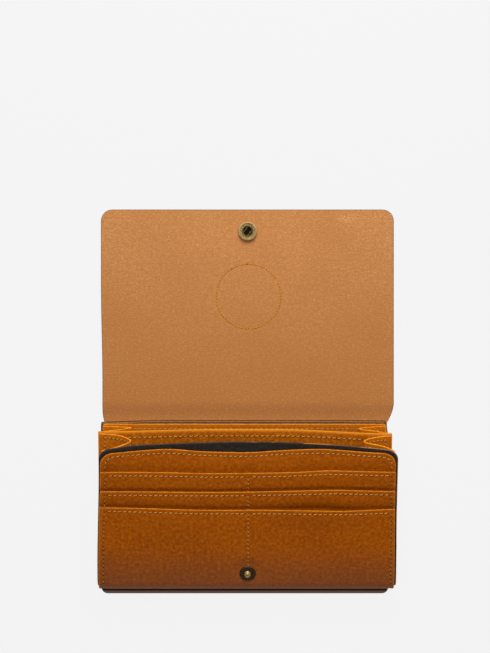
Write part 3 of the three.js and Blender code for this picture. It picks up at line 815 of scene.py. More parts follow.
@dataclass(frozen=True)
class Stitching:
    """How a seam is sewn: spacing, thread and how far each stitch stands up and leans."""

    pitch: float = 3.3
    radius: float = 0.34
    rise: float = 0.26
    gap: float = 0.42
    lean: float = 0.2
    hole: float = 0.4
    along: int = 7
    around: int = 8
    thread: WaxedThread = THREAD

    def sew(self, name: str, path: Array, face: Surface, flip: bool = False) -> bpy.types.Object:
        """Lay single stitches along a path on a surface.

        A stitch runs from hole to hole: its centre line rises as the square root of a sine, and
        its radius shrinks to half at both ends. Each hole is a flat eight-sided dimple, coloured dark as painted
        shade.

        Args:
            name: the object's name.
            path: flat coordinates of the seam, one row each.
            face: gives the surface point at flat coordinates.
            flip: sew on the surface's other side.
        Returns:
            The stitches and their holes as one object.
        """
        flat = spaced(path, self.pitch)
        x, u = flat.T
        small = 0.15
        holes = face(x, u)
        normals = unit(np.cross(face(x + small, u) - face(x - small, u), face(x, u + small) - face(x, u - small)))
        normals = -normals if flip else normals
        first, last = holes[:-1], holes[1:]
        normal = unit(normals[:-1] + normals[1:])
        forward = unit(last - first)
        aside = np.cross(normal, forward)
        first = first + forward * self.gap / 2 - aside * self.lean / 2
        last = last - forward * self.gap / 2 + aside * self.lean / 2
        t = np.linspace(0, 1, self.along)[None, :, None]
        lift = self.rise * np.sqrt(np.sin(np.pi * t)) - 0.1
        centre = first[:, None] * (1 - t) + last[:, None] * t + normal[:, None] * lift
        radius = self.radius * (1 - 0.5 * np.abs(2 * t - 1) ** 4)
        turn = np.linspace(0, 2 * np.pi, self.around, endpoint=False)
        ring = aside[:, None, None] * np.cos(turn)[:, None] + normal[:, None, None] * np.sin(turn)[:, None]
        tubes = centre[:, :, None] + ring * radius[..., None]
        count = len(first)
        number = np.arange(count * self.along * self.around).reshape(count, self.along, self.around)
        closed = np.concatenate([number, number[:, :, :1]], axis=2)
        sides = np.stack([closed[:, :-1, :-1], closed[:, 1:, :-1], closed[:, 1:, 1:], closed[:, :-1, 1:]], -1)
        caps = np.concatenate([number[:, 0], number[:, -1, ::-1]])
        run = np.broadcast_to(np.abs(2 * t - 1), (count, self.along, self.around))
        dimples, dimple_faces = self._dimples(holes, normals, unit(np.gradient(holes, axis=0)))
        faces = [*sides.reshape(-1, 4).tolist(), *caps.tolist(), *(dimple_faces + number.size).tolist()]
        tube_faces = sides.size // 4 + len(caps)
        return make_piece(
            name,
            np.concatenate([tubes.reshape(-1, 3), dimples]),
            faces,
            [self.thread, HOLE],
            indices=np.repeat([0, 1], [tube_faces, len(dimple_faces)]),
            values={"run": np.concatenate([run.ravel(), np.zeros(len(dimples))])},
        )

    def _dimples(self, holes: Array, normals: Array, forward: Array) -> tuple[Array, Array]:
        """Flat closed dimples round the holes: eight rim points, a low top and a bottom point.

        Args:
            holes: centres of the holes.
            normals: surface normals there.
            forward: directions of the seam there.
        Returns:
            The points and the triangles.
        """
        turn = np.linspace(0, 2 * np.pi, 8, endpoint=False)[None, :, None]
        aside = np.cross(normals, forward)
        rim = forward[:, None] * np.cos(turn) * self.hole * 1.15 + aside[:, None] * np.sin(turn) * self.hole
        rim = holes[:, None] + rim + normals[:, None] * 0.03
        ends = np.stack([holes + normals * 0.07, holes - normals * 0.15], axis=1)
        points = np.concatenate([rim, ends], axis=1).reshape(-1, 3)
        i = np.arange(8)
        j = (i + 1) % 8
        one = np.concatenate([np.stack([i, j, 0 * i + 8], 1), np.stack([j, i, 0 * i + 9], 1)])
        faces = (one[None] + 10 * np.arange(len(holes))[:, None, None]).reshape(-1, 3)
        return points, faces


HEM = Stitching(lean=0.5)
SIDE_SEAM = Stitching(pitch=3.0, radius=0.29, lean=0.5, gap=0.7, thread=WORN_THREAD)
MIDDLE_SEAM = Stitching(pitch=3.0, radius=0.31, lean=0.5, gap=0.6)
GUSSET_HEM = Stitching(pitch=2.6, radius=0.32, gap=0.4, hole=0.3, lean=0.4)
PATCH_SEAM = Stitching(pitch=2.1, radius=0.36, rise=0.12, gap=0.15, hole=0.3, thread=PATCH_THREAD)


# ------------------------------------------------------------------ turned metal


def soften(profile: Sequence[tuple[float, float]], radius: float, steps: int = 4) -> Array:
    """Round the corners of a closed profile that starts and ends on the axis.

    Args:
        profile: corner points as (radius, height).
        radius: how far from each corner the rounding starts, limited by the sides.
        steps: points of each rounding.
    Returns:
        The denser profile; each rounding is the parabola that touches both sides.
    """
    p = np.asarray(profile, float)
    before, corner, after = p[:-2], p[1:-1], p[2:]
    reach_a = np.minimum(radius, np.linalg.norm(before - corner, axis=1) * 0.45)[:, None]
    reach_b = np.minimum(radius, np.linalg.norm(after - corner, axis=1) * 0.45)[:, None]
    a = corner + unit(before - corner) * reach_a
    b = corner + unit(after - corner) * reach_b
    t = np.linspace(0, 1, steps + 1)[None, :, None]
    curve = a[:, None] * (1 - t) ** 2 + 2 * corner[:, None] * t * (1 - t) + b[:, None] * t**2
    return np.vstack([p[:1], curve.reshape(-1, 2), p[-1:]])


def turned(
    name: str,
    profile: Array,
    place: Callable[[Array, Array, Array], Array],
    finish: Finish,
    closed: bool = False,
    segments: int = 96,
    wear: Callable[[Array], Array] = lambda r: 0 * r,
) -> bpy.types.Object:
    """Turn a profile about its axis: point (r, h) at angle a becomes (r cos a, r sin a, h).

    Args:
        name: the object's name.
        profile: the profile's (radius, height) points.
        place: puts (x, u, n) into the frame.
        finish: the metal's finish.
        closed: the profile closes on itself instead of ending on the axis.
        segments: sides of a full turn.
        wear: how much more the metal is rubbed at a radius, below 0 for less.
    Returns:
        The turned object, with its poles merged.
    """
    profile = np.vstack([profile, profile[:1]]) if closed else profile
    turn = np.linspace(0, 2 * np.pi, segments, endpoint=False)
    r, h = profile[:, 0, None], profile[:, 1, None]
    points = place(r * np.cos(turn), r * np.sin(turn), h + 0 * turn)
    number = np.arange(len(profile) * segments).reshape(len(profile), segments)
    faces = quads(np.hstack([number, number[:, :1]]))
    piece = make_piece(name, points.reshape(-1, 3), faces, [finish],
                       values={"wear": np.repeat(wear(profile[:, 0]), segments)})
    merged = bmesh.new()
    merged.from_mesh(piece.data)
    bmesh.ops.remove_doubles(merged, verts=merged.verts, dist=0.002 * MM)
    bmesh.ops.dissolve_degenerate(merged, edges=merged.edges, dist=0.001 * MM)
    bmesh.ops.recalc_face_normals(merged, faces=merged.faces)
    merged.to_mesh(piece.data)
    merged.free()
    piece.data.set_sharp_from_angle(angle=math.radians(45))
    return piece


# ------------------------------------------------------------------ sub-assemblies


class Side(Enum):
    """The wallet's two sides, with the sign of X."""

    LEFT = -1
    RIGHT = 1

    @property
    def label(self) -> str:
        """The side's name in lower case."""
        return self.name.lower()


@dataclass
class Shell:
    """The outer leather: back panel, the strip between the folds and the flap, raw side up."""

    layout: Layout
    thickness: float = 1.6
    back_rim: float = 0.3
    corner: float = 7.2
    seam: float = 13.0  # where the two halves meet, between the folds
    step_from: float = -1.5  # the flap leather climbs off the back between these two
    step_to: float = 10.0
    lower_gap: float = 0.7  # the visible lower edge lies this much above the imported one
    patch_radius: float = 21.3
    fold_start: float = -1.0
    fold_end: float = 9.0
    spine_start: float = 22.0
    spine_end: float = 32.0

    def height(self, x: Array, y: Array) -> Array:
        """Middle of the leather above the table: flat on the back, then up a smooth step to the
        flap, with a low swell, a pressed ring at the round seam and one at the socket."""
        low = self.layout.table.measure("shell_back")[0][2]
        high = self.layout.table.measure("shell_flap")[0][2]
        base = low + (high - low) * smooth((y - self.step_from) / (self.step_to - self.step_from))
        swell = 0.22 * np.sin(x / 31 + 0.6) * np.sin(y / 27) * smooth((y - 12) / 30)
        px, py = self.patch_centre
        seam = groove(np.hypot(x - px, y - py) - self.patch_radius, 0.8)
        sx, sy = self.socket_centre
        press = hump(np.hypot(x - sx, y - sy) - 6.4, 2.4)
        return base + self.thickness / 2 + swell - 0.16 * seam - 0.22 * press

    @property
    def patch_centre(self) -> tuple[float, float]:
        """Centre of the round patch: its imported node's, a little to the right."""
        low, high = self.layout.table.measure("round_patch")
        return (low[0] + high[0]) / 2 + 0.7, (low[1] + high[1]) / 2 + 0.2

    @property
    def socket_centre(self) -> tuple[float, float]:
        """Centre of the snap's socket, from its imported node."""
        low, high = self.layout.table.measure("snap_socket")
        return (low[0] + high[0]) / 2, (low[1] + high[1]) / 2

    def face(self, x: Array, y: Array) -> Array:
        """Point of the raw upper side."""
        return self.layout.table.place(x, y, self.height(x, y) + self.thickness / 2)

    def outside(self, x: Array, y: Array) -> Array:
        """Point of the grain side underneath."""
        return self.layout.table.place(x, y, self.height(x, y) - self.thickness / 2)

    def _waist_left(self, y: Array) -> Array:
        """How far the left side is drawn in: a slow lean on the flap and a short notch at the fold."""
        notch = 1.2 * np.clip((3 - y) / 7, 0, 1) ** 1.5
        return (1.0 * smooth((90 - y) / 70) + notch) * (1 - smooth((-6 - y) / 14)) + 0.2 * smooth(-y / 9)

    def _waist_right(self, y: Array) -> Array:
        """How far the right side is drawn in: a long shoulder, then the narrower back."""
        return 4.4 * np.clip((9 - y) / 13, 0, 1) ** 1.8 - 0.9 * smooth((-5 - y) / 10)

    def build_lower(self) -> bpy.types.Object:
        """The back panel and the near half of the strip between the folds."""
        low, high = self.layout.table.measure("shell_back")
        flap = self.layout.table.measure("shell_flap")
        outline = Outline(
            flap[0][0] - 0.3, flap[1][0], low[1] + self.lower_gap, self.seam, low_radius=4.0,
            high_radius=0.0, side_left=self._waist_left, side_right=lambda y: -self._waist_right(y),
        )
        return self._sheet("shell_back_and_spine", outline, -1)

    def build_upper(self) -> bpy.types.Object:
        """The far half of the strip between the folds and the flap."""
        low, high = self.layout.table.measure("shell_flap")
        outline = Outline(low[0] - 0.3, high[0], self.seam, high[1] - 0.5, low_radius=0.0, high_radius=self.corner,
                          side_left=self._waist_left)
        return self._sheet("shell_flap_leather", outline, 0)

    def _sheet(self, name: str, outline: Outline, butt_row: int) -> bpy.types.Object:
        """Build one half, with a flat end where it meets the other."""
        x, y, margin = outline.grid()
        middle = self.layout.table.place(x, y, self.height(x, y))
        return Sheet(name, middle, stack(x, y), margin, self.thickness, [SUEDE, SHELL_OUTSIDE, SHELL_EDGE],
                     rim=self.back_rim, butt_row=butt_row).build()

    def build(self) -> list[bpy.types.Object]:
        """Build both halves, bake their transforms and hide the imported shell pieces."""
        lower, upper = self.build_lower(), self.build_upper()
        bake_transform(lower)
        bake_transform(upper)
        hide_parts("shell_back", "shell_spine")
        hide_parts("shell_flap")
        return [lower, upper]


@dataclass
class RoundPatch:
    """The round patch sewn to the outside of the flap, and its seam."""

    shell: Shell
    radius: float = 24.0
    knots: tuple[float, float] = (122.0, 92.5)  # degrees round the seam

    def build(self) -> list[bpy.types.Object]:
        """Build the patch and the seam on both sides of the flap."""
        disc = self._disc()
        inside = self._seam("patch_stitches_inside", self.shell.face, False)
        outside = self._seam("patch_stitches_outside", self._under, True)
        knots = self._knots()
        for piece in (disc, inside, outside, knots):
            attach(piece, "flap")
        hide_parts("round_patch")
        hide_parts("patch_thread")
        return [disc, inside, outside, knots]

    def _disc(self) -> bpy.types.Object:
        """A disc of leather: rings of radius r, its face downwards and its rim rounded over."""
        px, py = self.shell.patch_centre
        low, high = self.shell.layout.table.measure("round_patch")
        bottom, top = low[2], high[2]
        seam = self.shell.patch_radius
        r = np.concatenate([np.linspace(0, seam - 2, 10), np.linspace(seam - 1.6, seam + 1.6, 9)])
        under = np.stack([r, bottom + 0.25 * groove(r - seam, 0.9)], 1)
        edge = [(self.radius - 0.5, bottom), (self.radius, bottom + 0.5), (self.radius, top), (0.0, top)]
        profile = np.vstack([under, soften([tuple(under[-1]), *edge], 0.4)[1:]])
        place = lambda x, u, n: self.shell.layout.table.place(px + x, py + u, n)
        disc = turned("round_leather_patch", profile, place, SHELL_OUTSIDE, segments=128)
        flat = np.empty(len(disc.data.vertices) * 3)
        disc.data.vertices.foreach_get("co", flat)
        lay = disc.data.attributes.new("lay", "FLOAT_VECTOR", "POINT")
        lay.data.foreach_set("vector", flat.astype(np.float32))
        margin = disc.data.attributes.new("margin", "FLOAT", "POINT")
        x, y, _ = (flat.reshape(-1, 3) / MM).T
        reach = self.radius - np.hypot(x - px, y - (self.shell.layout.fold + py))
        margin.data.foreach_set("value", np.maximum(reach, 0).astype(np.float32))
        return disc

    def _under(self, x: Array, y: Array) -> Array:
        """Point of the patch's own face, underneath the flap."""
        low, _ = self.shell.layout.table.measure("round_patch")
        return self.shell.layout.table.place(x, y, low[2] + 0.2 + 0 * x)

    def _circle(self) -> Array:
        """The seam's flat coordinates, starting at the lowest point."""
        px, py = self.shell.patch_centre
        turn = np.radians(np.linspace(-90, 270, 181))
        radius = self.shell.patch_radius
        return np.stack([px + radius * np.cos(turn), py + radius * np.sin(turn)], 1)

    def _seam(self, name: str, face: Surface, flip: bool) -> bpy.types.Object:
        """Sew the round seam on one side."""
        return PATCH_SEAM.sew(name, self._circle(), face, flip)

    def _knots(self) -> bpy.types.Object:
        """Two small knots where the seam's thread was tied off: flattened balls."""
        px, py = self.shell.patch_centre
        turn = np.linspace(0, 2 * np.pi, 16, endpoint=False)
        rise = np.linspace(0, np.pi, 9)[:, None]
        size = 0.55
        parts = []
        for degrees in self.knots:
            a = math.radians(degrees)
            cx, cy = px + self.shell.patch_radius * math.cos(a), py + self.shell.patch_radius * math.sin(a)
            centre = self.shell.face(np.array(cx), np.array(cy))
            lumps = 1 + 0.12 * np.sin(3 * turn + degrees)
            ball = stack(np.sin(rise) * np.cos(turn) * lumps, np.sin(rise) * np.sin(turn) * lumps,
                         0.7 * np.cos(rise) + 0 * turn)
            parts.append(centre + size * ball)
        points = np.stack(parts)
        number = np.arange(points.size // 3).reshape(points.shape[:3])
        rows = [quads(np.hstack([n, n[:, :1]]))[:, ::-1] for n in number]
        piece = make_piece("patch_thread_knots", points.reshape(-1, 3), np.concatenate(rows),
                           [WaxedThread("knotted_thread", "linen_thread", colour="#7A4A16", shade="#4A2A0C")],
                           values={"run": np.full(points.size // 3, 0.3)})
        merged = bmesh.new()
        merged.from_mesh(piece.data)
        bmesh.ops.remove_doubles(merged, verts=merged.verts, dist=0.01 * MM)
        bmesh.ops.recalc_face_normals(merged, faces=merged.faces)
        merged.to_mesh(piece.data)
        merged.free()
        return piece


@dataclass
class Pouch:
    """The black body wrap and the card pockets' outer leather, both bent round the lower edge."""

    layout: Layout
    wrap_thickness: float = 1.2
    leather: float = 0.9
    wrap_left: float = 0.9  # the black wrap stands out this much beyond the card pockets
    wrap_right: float = 1.5
    wrap_edge: float = 90.1  # height of the wrap's upper edge at its corners
    wrap_bow: float = 5.2  # the wrap's upper edge bows back into the pouch
    corner: float = 6.0
    wrap_top: float = -4.3  # upper ends of the back layers, from the fold
    pocket_top: float = -3.05
    ramp_high: float = 22.0  # height on the front where the outer leather has come to its full level
    gape: float = 1.9

    @property
    def reach(self) -> tuple[float, float]:
        """Left and right edges of the card pockets."""
        low, high = self.layout.front.measure("outer_front")
        return low[0] + 1.25, high[0] - 0.9

    def lean_left(self, u: Array) -> Array:
        """The left side leans out by some three millimetres towards the lower edge."""
        return -2.8 * (1 - smooth((u + 5) / 95))

    def lean_right(self, u: Array) -> Array:
        """The right side leans out by less than a millimetre."""
        return 0.8 * (1 - smooth((u + 5) / 60))

    def narrow(self, u: Array, by: float) -> Array:
        """How far a side is drawn in on the back, past the bend."""
        return by * smooth((-u - 22) / 50)

    # -- black wrap

    @property
    def wrap(self) -> Wrapped:
        """The wrap's way round the lower edge."""
        middle = self.layout.front.measure("card_base")[0][2] - 0.15 - self.wrap_thickness / 2
        level = self.layout.level.measure("body_wrap_back")
        return Wrapped(self.layout.front, middle, -(level[0][2] + level[1][2]) / 2 - middle)

    def wrap_height(self, x: Array, u: Array) -> Array:
        """Middle of the wrap: straight, but bowed back between the corners near the top."""
        bow = np.clip(1 - (x / 93) ** 2, 0, 1) * smooth((u - 50) / 44)
        return self.wrap.radius - self.wrap_bow * bow

    def wrap_crown(self, x: Array) -> Array:
        """How much higher the wrap's upper edge is than at its corners."""
        return wave([(-96, -0.3), (-88, 0.4), (-75, 2.1), (-60, 2.6), (-45, 2.9), (-20, 3.4), (0, 3.6), (25, 3.3),
                     (45, 2.7), (60, 2.0), (75, 1.1), (88, 0.2), (96, -0.4)])(x)

    def wrap_outline(self) -> Outline:
        """Outline of the whole wrap, its back end first."""
        left, right = self.reach
        low = self.wrap.back_end(self.layout.fold + self.wrap_top)
        return Outline(
            left - self.wrap_left, right + self.wrap_right, low, self.wrap_edge, low_radius=0.6,
            high_radius=self.corner, crown=self.wrap_crown,
            sill=self._root_wave, side_left=lambda u: self.lean_left(u) + self.narrow(u, 1.5),
            side_right=lambda u: self.lean_right(u) - self.narrow(u, 5.9),
        )

    def _root_wave(self, x: Array) -> Array:
        """The back layers' upper ends reach lower towards the left corner."""
        return 0.9 * smooth((-x - 60) / 35) + 0.2 * smooth((x - 60) / 35)

    def build_wrap(self) -> bpy.types.Object:
        """Build the black wrap and bend it between back and front."""
        outline = self.wrap_outline()
        x, u, margin = outline.grid()
        middle = self.wrap.place(x, u, self.wrap_height(x, u))
        piece = Sheet("black_body_wrap", middle, stack(x, u), margin, self.wrap_thickness,
                      [BLACK, BLACK, BLACK_EDGE], rim=0.5, end_finish=ROOT_EDGE).build()
        self._mid(4.3)
        self._mid(10.0)
        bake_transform(piece)
        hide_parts("body_wrap_front", "body_wrap_back")
        return piece

    def _mid(self, z: float) -> tuple[float, float, float]:
        """A point below the pivot at height z, in metres."""
        return 0.0, self.layout.front.y * MM, z * MM

    # -- outer pocket leather

    @property
    def pocket(self) -> Wrapped:
        """The outer leather's way round the lower edge."""
        return Wrapped(self.layout.front, self.layout.front.measure("outer_front")[1][2] * 0 + 7.55)

    def pocket_edge(self, x: Array) -> Array:
        """Wave of the outer pocket's mouth: it sags a little right of the middle seam."""
        return wave([(-96, 52.1), (-80, 51.9), (-58, 51.4), (-30, 50.5), (0, 50.4), (30, 50.7), (48, 50.6), (62, 50.2),
                     (80, 50.5), (96, 51.1)], 51.2)(x)

    def pocket_height(self, x: Array, u: Array) -> Array:
        """Middle of the outer leather: it leaves the bend in a long round fall, and the stud
        presses a dimple into it.

        Its mouth gapes right of the middle seam, and the seams press lines into it."""
        low, high = self.layout.front.measure("outer_front")
        top = high[1]
        stack_height = high[2] - self.leather / 2
        rest = self.pocket.radius
        rise = 1 - (1 - np.clip(u / self.ramp_high, 0, 1)) ** 2
        low_stud, high_stud = self.layout.front.measure("snap_stud")
        away = np.hypot(x - (low_stud[0] + high_stud[0]) / 2, u - (low_stud[1] + high_stud[1]) / 2)
        base = rest + (stack_height - rest) * rise * (1 - smooth((12.5 - away) / 7))
        mouth = smooth((u - top + 16) / 16)
        gape = self.gape * hump(x - 46, 44) + 0.35 * hump(x + 48, 44)
        fill = 0.5 * smooth((u - 20) / 16) * (1 - smooth((u - top + 14) / 14)) * hump(np.abs(x) - 46, 50)
        return base + gape * mouth + fill + self._seam_relief(x, u, top + self.pocket_edge(x))

    def _seam_relief(self, x: Array, u: Array, top: Array) -> Array:
        """Pressed lines at the hem, the side seams and the middle seam of a card strip, with the
        leather swelling a little between hem and edge."""
        left, right = self.reach
        hem = -0.2 * groove(u - top + 2.2, 0.9)
        sides = -0.16 * groove(x - left - 2.8 - self.lean_left(u), 0.8)
        sides = sides - 0.16 * groove(x - right + 2.0 - self.lean_right(u), 0.8)
        middle = -0.28 * groove(x - self.middle_seam, 1.3) * smooth((u - 11) / 4)
        return hem + sides + middle

    @property
    def middle_seam(self) -> float:
        """X of the seam between the two columns of card slots."""
        return 0.3

    def pocket_outline(self) -> Outline:
        """Outline of the outer leather, its back end first."""
        left, right = self.reach
        low = self.pocket.back_end(self.layout.fold + self.pocket_top)
        return Outline(
            left, right, low, self.layout.front.measure("outer_front")[1][1], low_radius=0.6, high_radius=0.5,
            crown=self.pocket_edge, sill=self._root_wave, step=0.95,
            side_left=lambda u: self.lean_left(u) + self.narrow(u, 0.6),
            side_right=lambda u: self.lean_right(u) - self.narrow(u, 4.4),
        )

    def pocket_face(self, x: Array, u: Array) -> Array:
        """Point of the outer leather's grain side."""
        return self.pocket.place(x, u, self.pocket_height(x, u) + self.leather / 2)

    def build_pocket(self) -> bpy.types.Object:
        """Build the outer leather and bend it between back and front."""
        x, u, margin = self.pocket_outline().grid()
        middle = self.pocket.place(x, u, self.pocket_height(x, u))
        piece = Sheet("outer_pocket_leather", middle, stack(x, u), margin, self.leather,
                      [TAN, FLESH, TAN_EDGE], rim=0.5, end_finish=ROOT_EDGE).build()
        self._mid(3.2)
        self._mid(9.0)
        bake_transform(piece)
        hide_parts("outer_front", "pocket_wrap_back")
        return piece


@dataclass
class CardPanel:
    """The card pockets above the outer leather: the panel's base and two strips, and all their
    stitching. Each layer is a shingle whose foot goes under the next one."""

    pouch: Pouch
    base_thickness: float = 0.9
    strip_thickness: float = 0.8
    base_edge: float = 88.8  # height of the base's upper edge at its corners
    hem: float = 2.2
    side: float = 2.8
    side_right: float = 2.0
    corner: float = 7.5
    dip: float = 0.85  # a layer sinks this much before it goes under the next

    @property
    def front(self) -> Panel:
        """The front panel's frame."""
        return self.pouch.layout.front

    def top_of(self, node: str) -> float:
        """Height of a strip's upper edge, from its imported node."""
        return self.front.measure(node)[1][1]

    def base_crown(self, x: Array) -> Array:
        """The base's upper edge: two humps, with a dip where the middle seam holds it."""
        return wave([(-96, 87.5), (-86, 88.2), (-66, 90.0), (-49, 90.7), (-31, 89.2), (-15, 88.6), (1.5, 88.4),
                     (18, 89.5), (32, 90.3), (46, 90.7), (56, 90.3), (68, 89.4), (81, 88.5), (96, 87.9)], 88.8)(x)

    def base_height(self, x: Array, u: Array) -> Array:
        """Middle of the base: flat, sinking before the first strip, bowed back at the top."""
        rest = self.front.measure("card_base")[0][2] + self.base_thickness / 2
        edge = self.base_edge + self.base_crown(x)
        sink = self._sink(u - self.top_of("card_strip_1") - self.strip_edge(1, x), 0.6, 0.15, 7.5)
        bow = 1.3 * np.clip(1 - (x / 90) ** 2, 0, 1) * smooth((u - 70) / 22)
        hem = -0.2 * groove(u - edge + self.hem, 0.9)
        return rest - sink - bow + hem + self._side_press(x, u) - self._middle_press(x)

    def _sink(self, above: Array, dip: float | Array, crease: float, reach: float) -> Array:
        """How far a layer lies below its full height at a distance above the next layer's edge: a
        long dip and a short crease."""
        return dip * (1 - smooth((above + 1) / reach)) + crease * (1 - smooth(above / 2.8))

    def strip_height(self, index: int, x: Array, u: Array) -> Array:
        """Middle of strip 1 or 2: a low pillow between its own edge and the next one's."""
        node = f"card_strip_{index}"
        rest = self.front.measure(node)[0][2] + self.strip_thickness / 2
        top = self.top_of(node)
        below = self.top_of("card_strip_2") + self.strip_edge(2, x)
        if index == 2:
            below = self.top_of("outer_front") + self.pouch.pocket_edge(x)
        if index == 1:
            sink = self._sink(u - below, 0.5, 0.75, 5.5)
        else:
            sink = self._sink(u - below, self.dip + 0.8 * hump(x - 45, 36), 0.65, 8.0)
        edge = top + self.strip_edge(index, x)
        mouth = (0.25 + 0.3 * hump(x - 42, 40)) * smooth((u - top + 9) / 9)
        hem = -0.18 * groove(u - edge + self.hem, 0.9)
        return rest - sink + mouth + hem + self._side_press(x, u) - self._middle_press(x)

    def strip_edge(self, index: int, x: Array) -> Array:
        """Wave of a strip's mouth, within a millimetre or two."""
        if index == 1:
            return wave([(-96, 75.7), (-75, 75.9), (-50, 75.6), (-25, 75.0), (0, 75.2), (18, 75.5), (34, 76.1),
                         (52, 77.0), (72, 76.4), (96, 75.8)], 75.2)(x)
        return wave([(-96, 62.9), (-68, 62.8), (-33, 62.5), (-4, 62.6), (20, 63.1), (40, 63.7), (58, 64.0),
                     (76, 63.4), (96, 63.0)], 63.2)(x)

    def _side_press(self, x: Array, u: Array) -> Array:
        """Lines pressed by the two side seams."""
        left, right = self.pouch.reach
        first = groove(x - left - self.side - self.pouch.lean_left(u), 0.8)
        return -0.15 * (first + groove(x - right + self.side_right - self.pouch.lean_right(u), 0.8))

    def _middle_press(self, x: Array) -> Array:
        """Depth of the line pressed by the middle seam."""
        return 0.28 * groove(x - self.pouch.middle_seam, 1.4)

    def base_outline(self) -> Outline:
        """Outline of the base."""
        left, right = self.pouch.reach
        return Outline(left, right, self.front.measure("card_base")[0][1], self.base_edge,
                       high_radius=self.corner, crown=self.base_crown, crown_reach=14,
                       side_left=self.pouch.lean_left, side_right=self.pouch.lean_right, step=0.95)

    def strip_outline(self, index: int) -> Outline:
        """Outline of strip 1 or 2."""
        left, right = self.pouch.reach
        low, high = self.front.measure(f"card_strip_{index}")
        return Outline(left, right, low[1], high[1], high_radius=0.5, crown=lambda x: self.strip_edge(index, x),
                       crown_reach=9, side_left=self.pouch.lean_left, side_right=self.pouch.lean_right, step=0.95)

    def base_face(self, x: Array, u: Array) -> Array:
        """Point of the base's grain side."""
        return self.front.place(x, u, self.base_height(x, u) + self.base_thickness / 2)

    def strip_face(self, index: int) -> Surface:
        """Function that gives a point of a strip's grain side; strip 3 is the outer leather."""
        if index == 3:
            return self.pouch.pocket_face
        return lambda x, u: self.front.place(x, u, self.strip_height(index, x, u) + self.strip_thickness / 2)

    def stepped_face(self, x: Array, u: Array) -> Array:
        """Point of whichever layer lies on top at (x, u)."""
        levels = [self.base_face(x, u), self.strip_face(1)(x, u), self.strip_face(2)(x, u), self.pouch.pocket_face(x, u)]
        edges = [self.top_of("card_strip_1") + self.strip_edge(1, x), self.top_of("card_strip_2") + self.strip_edge(2, x),
                 self.top_of("outer_front") + self.pouch.pocket_edge(x)]
        place = levels[0]
        for edge, level in zip(edges, levels[1:]):
            place = np.where((u < edge)[..., None], level, place)
        return place

    def build_sheets(self) -> list[bpy.types.Object]:
        """Build the base and the two upper strips."""
        x, u, margin = self.base_outline().grid()
        middle = self.front.place(x, u, self.base_height(x, u))
        base = Sheet("card_panel_base", middle, stack(x, u), margin, self.base_thickness,
                     [TAN, FLESH, TAN_EDGE], rim=0.5).build()
        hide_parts("card_base")
        pieces = [base]
        for index in (1, 2):
            x, u, margin = self.strip_outline(index).grid()
            middle = self.front.place(x, u, self.strip_height(index, x, u))
            strip = Sheet(f"card_strip_{index}_leather", middle, stack(x, u), margin, self.strip_thickness,
                          [TAN, FLESH, TAN_EDGE], rim=0.5).build()
            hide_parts(f"card_strip_{index}")
            pieces.append(strip)
        for piece in pieces:
            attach(piece, "front")
        return pieces

    def base_hem_path(self) -> Array:
        """Path of the base's hem: up the left side, over both round corners and down the right."""
        left, right = self.pouch.reach
        bottom = self.top_of("card_strip_1") + 2.0
        top = self.base_edge - self.hem
        radius = self.corner - 2.0
        turn = np.linspace(0, np.pi / 2, 10)
        first = left + self.side + float(self.pouch.lean_left(np.array(bottom)))
        last = right - self.side_right + float(self.pouch.lean_right(np.array(bottom)))
        across = np.linspace(first + radius, last - radius, 90)[1:-1]
        xs = np.concatenate([[first], first + radius - radius * np.cos(turn), across,
                             last - radius + radius * np.sin(turn), [last]])
        us = np.concatenate([[bottom], top - radius + radius * np.sin(turn), 0 * across + top,
                             top - radius + radius * np.cos(turn), [bottom]])
        return np.stack([xs, self.base_outline().lift(xs, us)], 1)

    def build_stitches(self) -> list[bpy.types.Object]:
        """Sew the hems, the two side seams and the middle seam."""
        left, right = self.pouch.reach
        mid = self.pouch.middle_seam
        made = [("card_panel_hem_stitches", HEM, self.base_hem_path(), self.base_face, "base_hem_thread")]
        for index in (1, 2, 3):
            node = f"card_strip_{index}" if index < 3 else "outer_front"
            top = self.top_of(node)
            wave = (lambda x, i=index: self.strip_edge(i, x)) if index < 3 else self.pouch.pocket_edge
            first = left + self.side + 1.6 + float(self.pouch.lean_left(np.array(top)))
            last = right - self.side_right - 1.6 + float(self.pouch.lean_right(np.array(top)))
            for side in Side:
                ends = (first, mid - 2.2) if side is Side.LEFT else (mid + 2.2, last)
                x = np.linspace(*ends, 40)
                path = np.stack([x, top - self.hem + wave(x)], 1)
                made.append((f"card_strip_{index}_stitches_{side.label}", HEM, path, self.strip_face(index),
                             f"strip_{index}_thread_{side.label}"))
        top = self.top_of("card_strip_1") + 0.6
        for side in Side:
            u = np.linspace(-1.5, top, 60)
            left_x, right_x = left + self.side + self.pouch.lean_left(u), right - self.side_right + self.pouch.lean_right(u)
            path = np.stack([left_x if side is Side.LEFT else right_x, u], 1)
            made.append((f"side_stitches_{side.label}", SIDE_SEAM, path, self.stepped_face,
                         f"side_thread_{side.label}"))
        path = np.stack([np.full(30, mid), np.linspace(10.6, top - 0.4, 30)], 1)
        made.append(("middle_stitches", MIDDLE_SEAM, path, self.stepped_face, "centre_thread"))
        pieces = []
        for name, style, path, face, node in made:
            piece = style.sew(name, path, face)
            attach(piece, "front")
            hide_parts(node)
            pieces.append(piece)
        return pieces

    def build(self) -> list[bpy.types.Object]:
        """Build the layers and their stitching."""
        return self.build_sheets() + self.build_stitches()


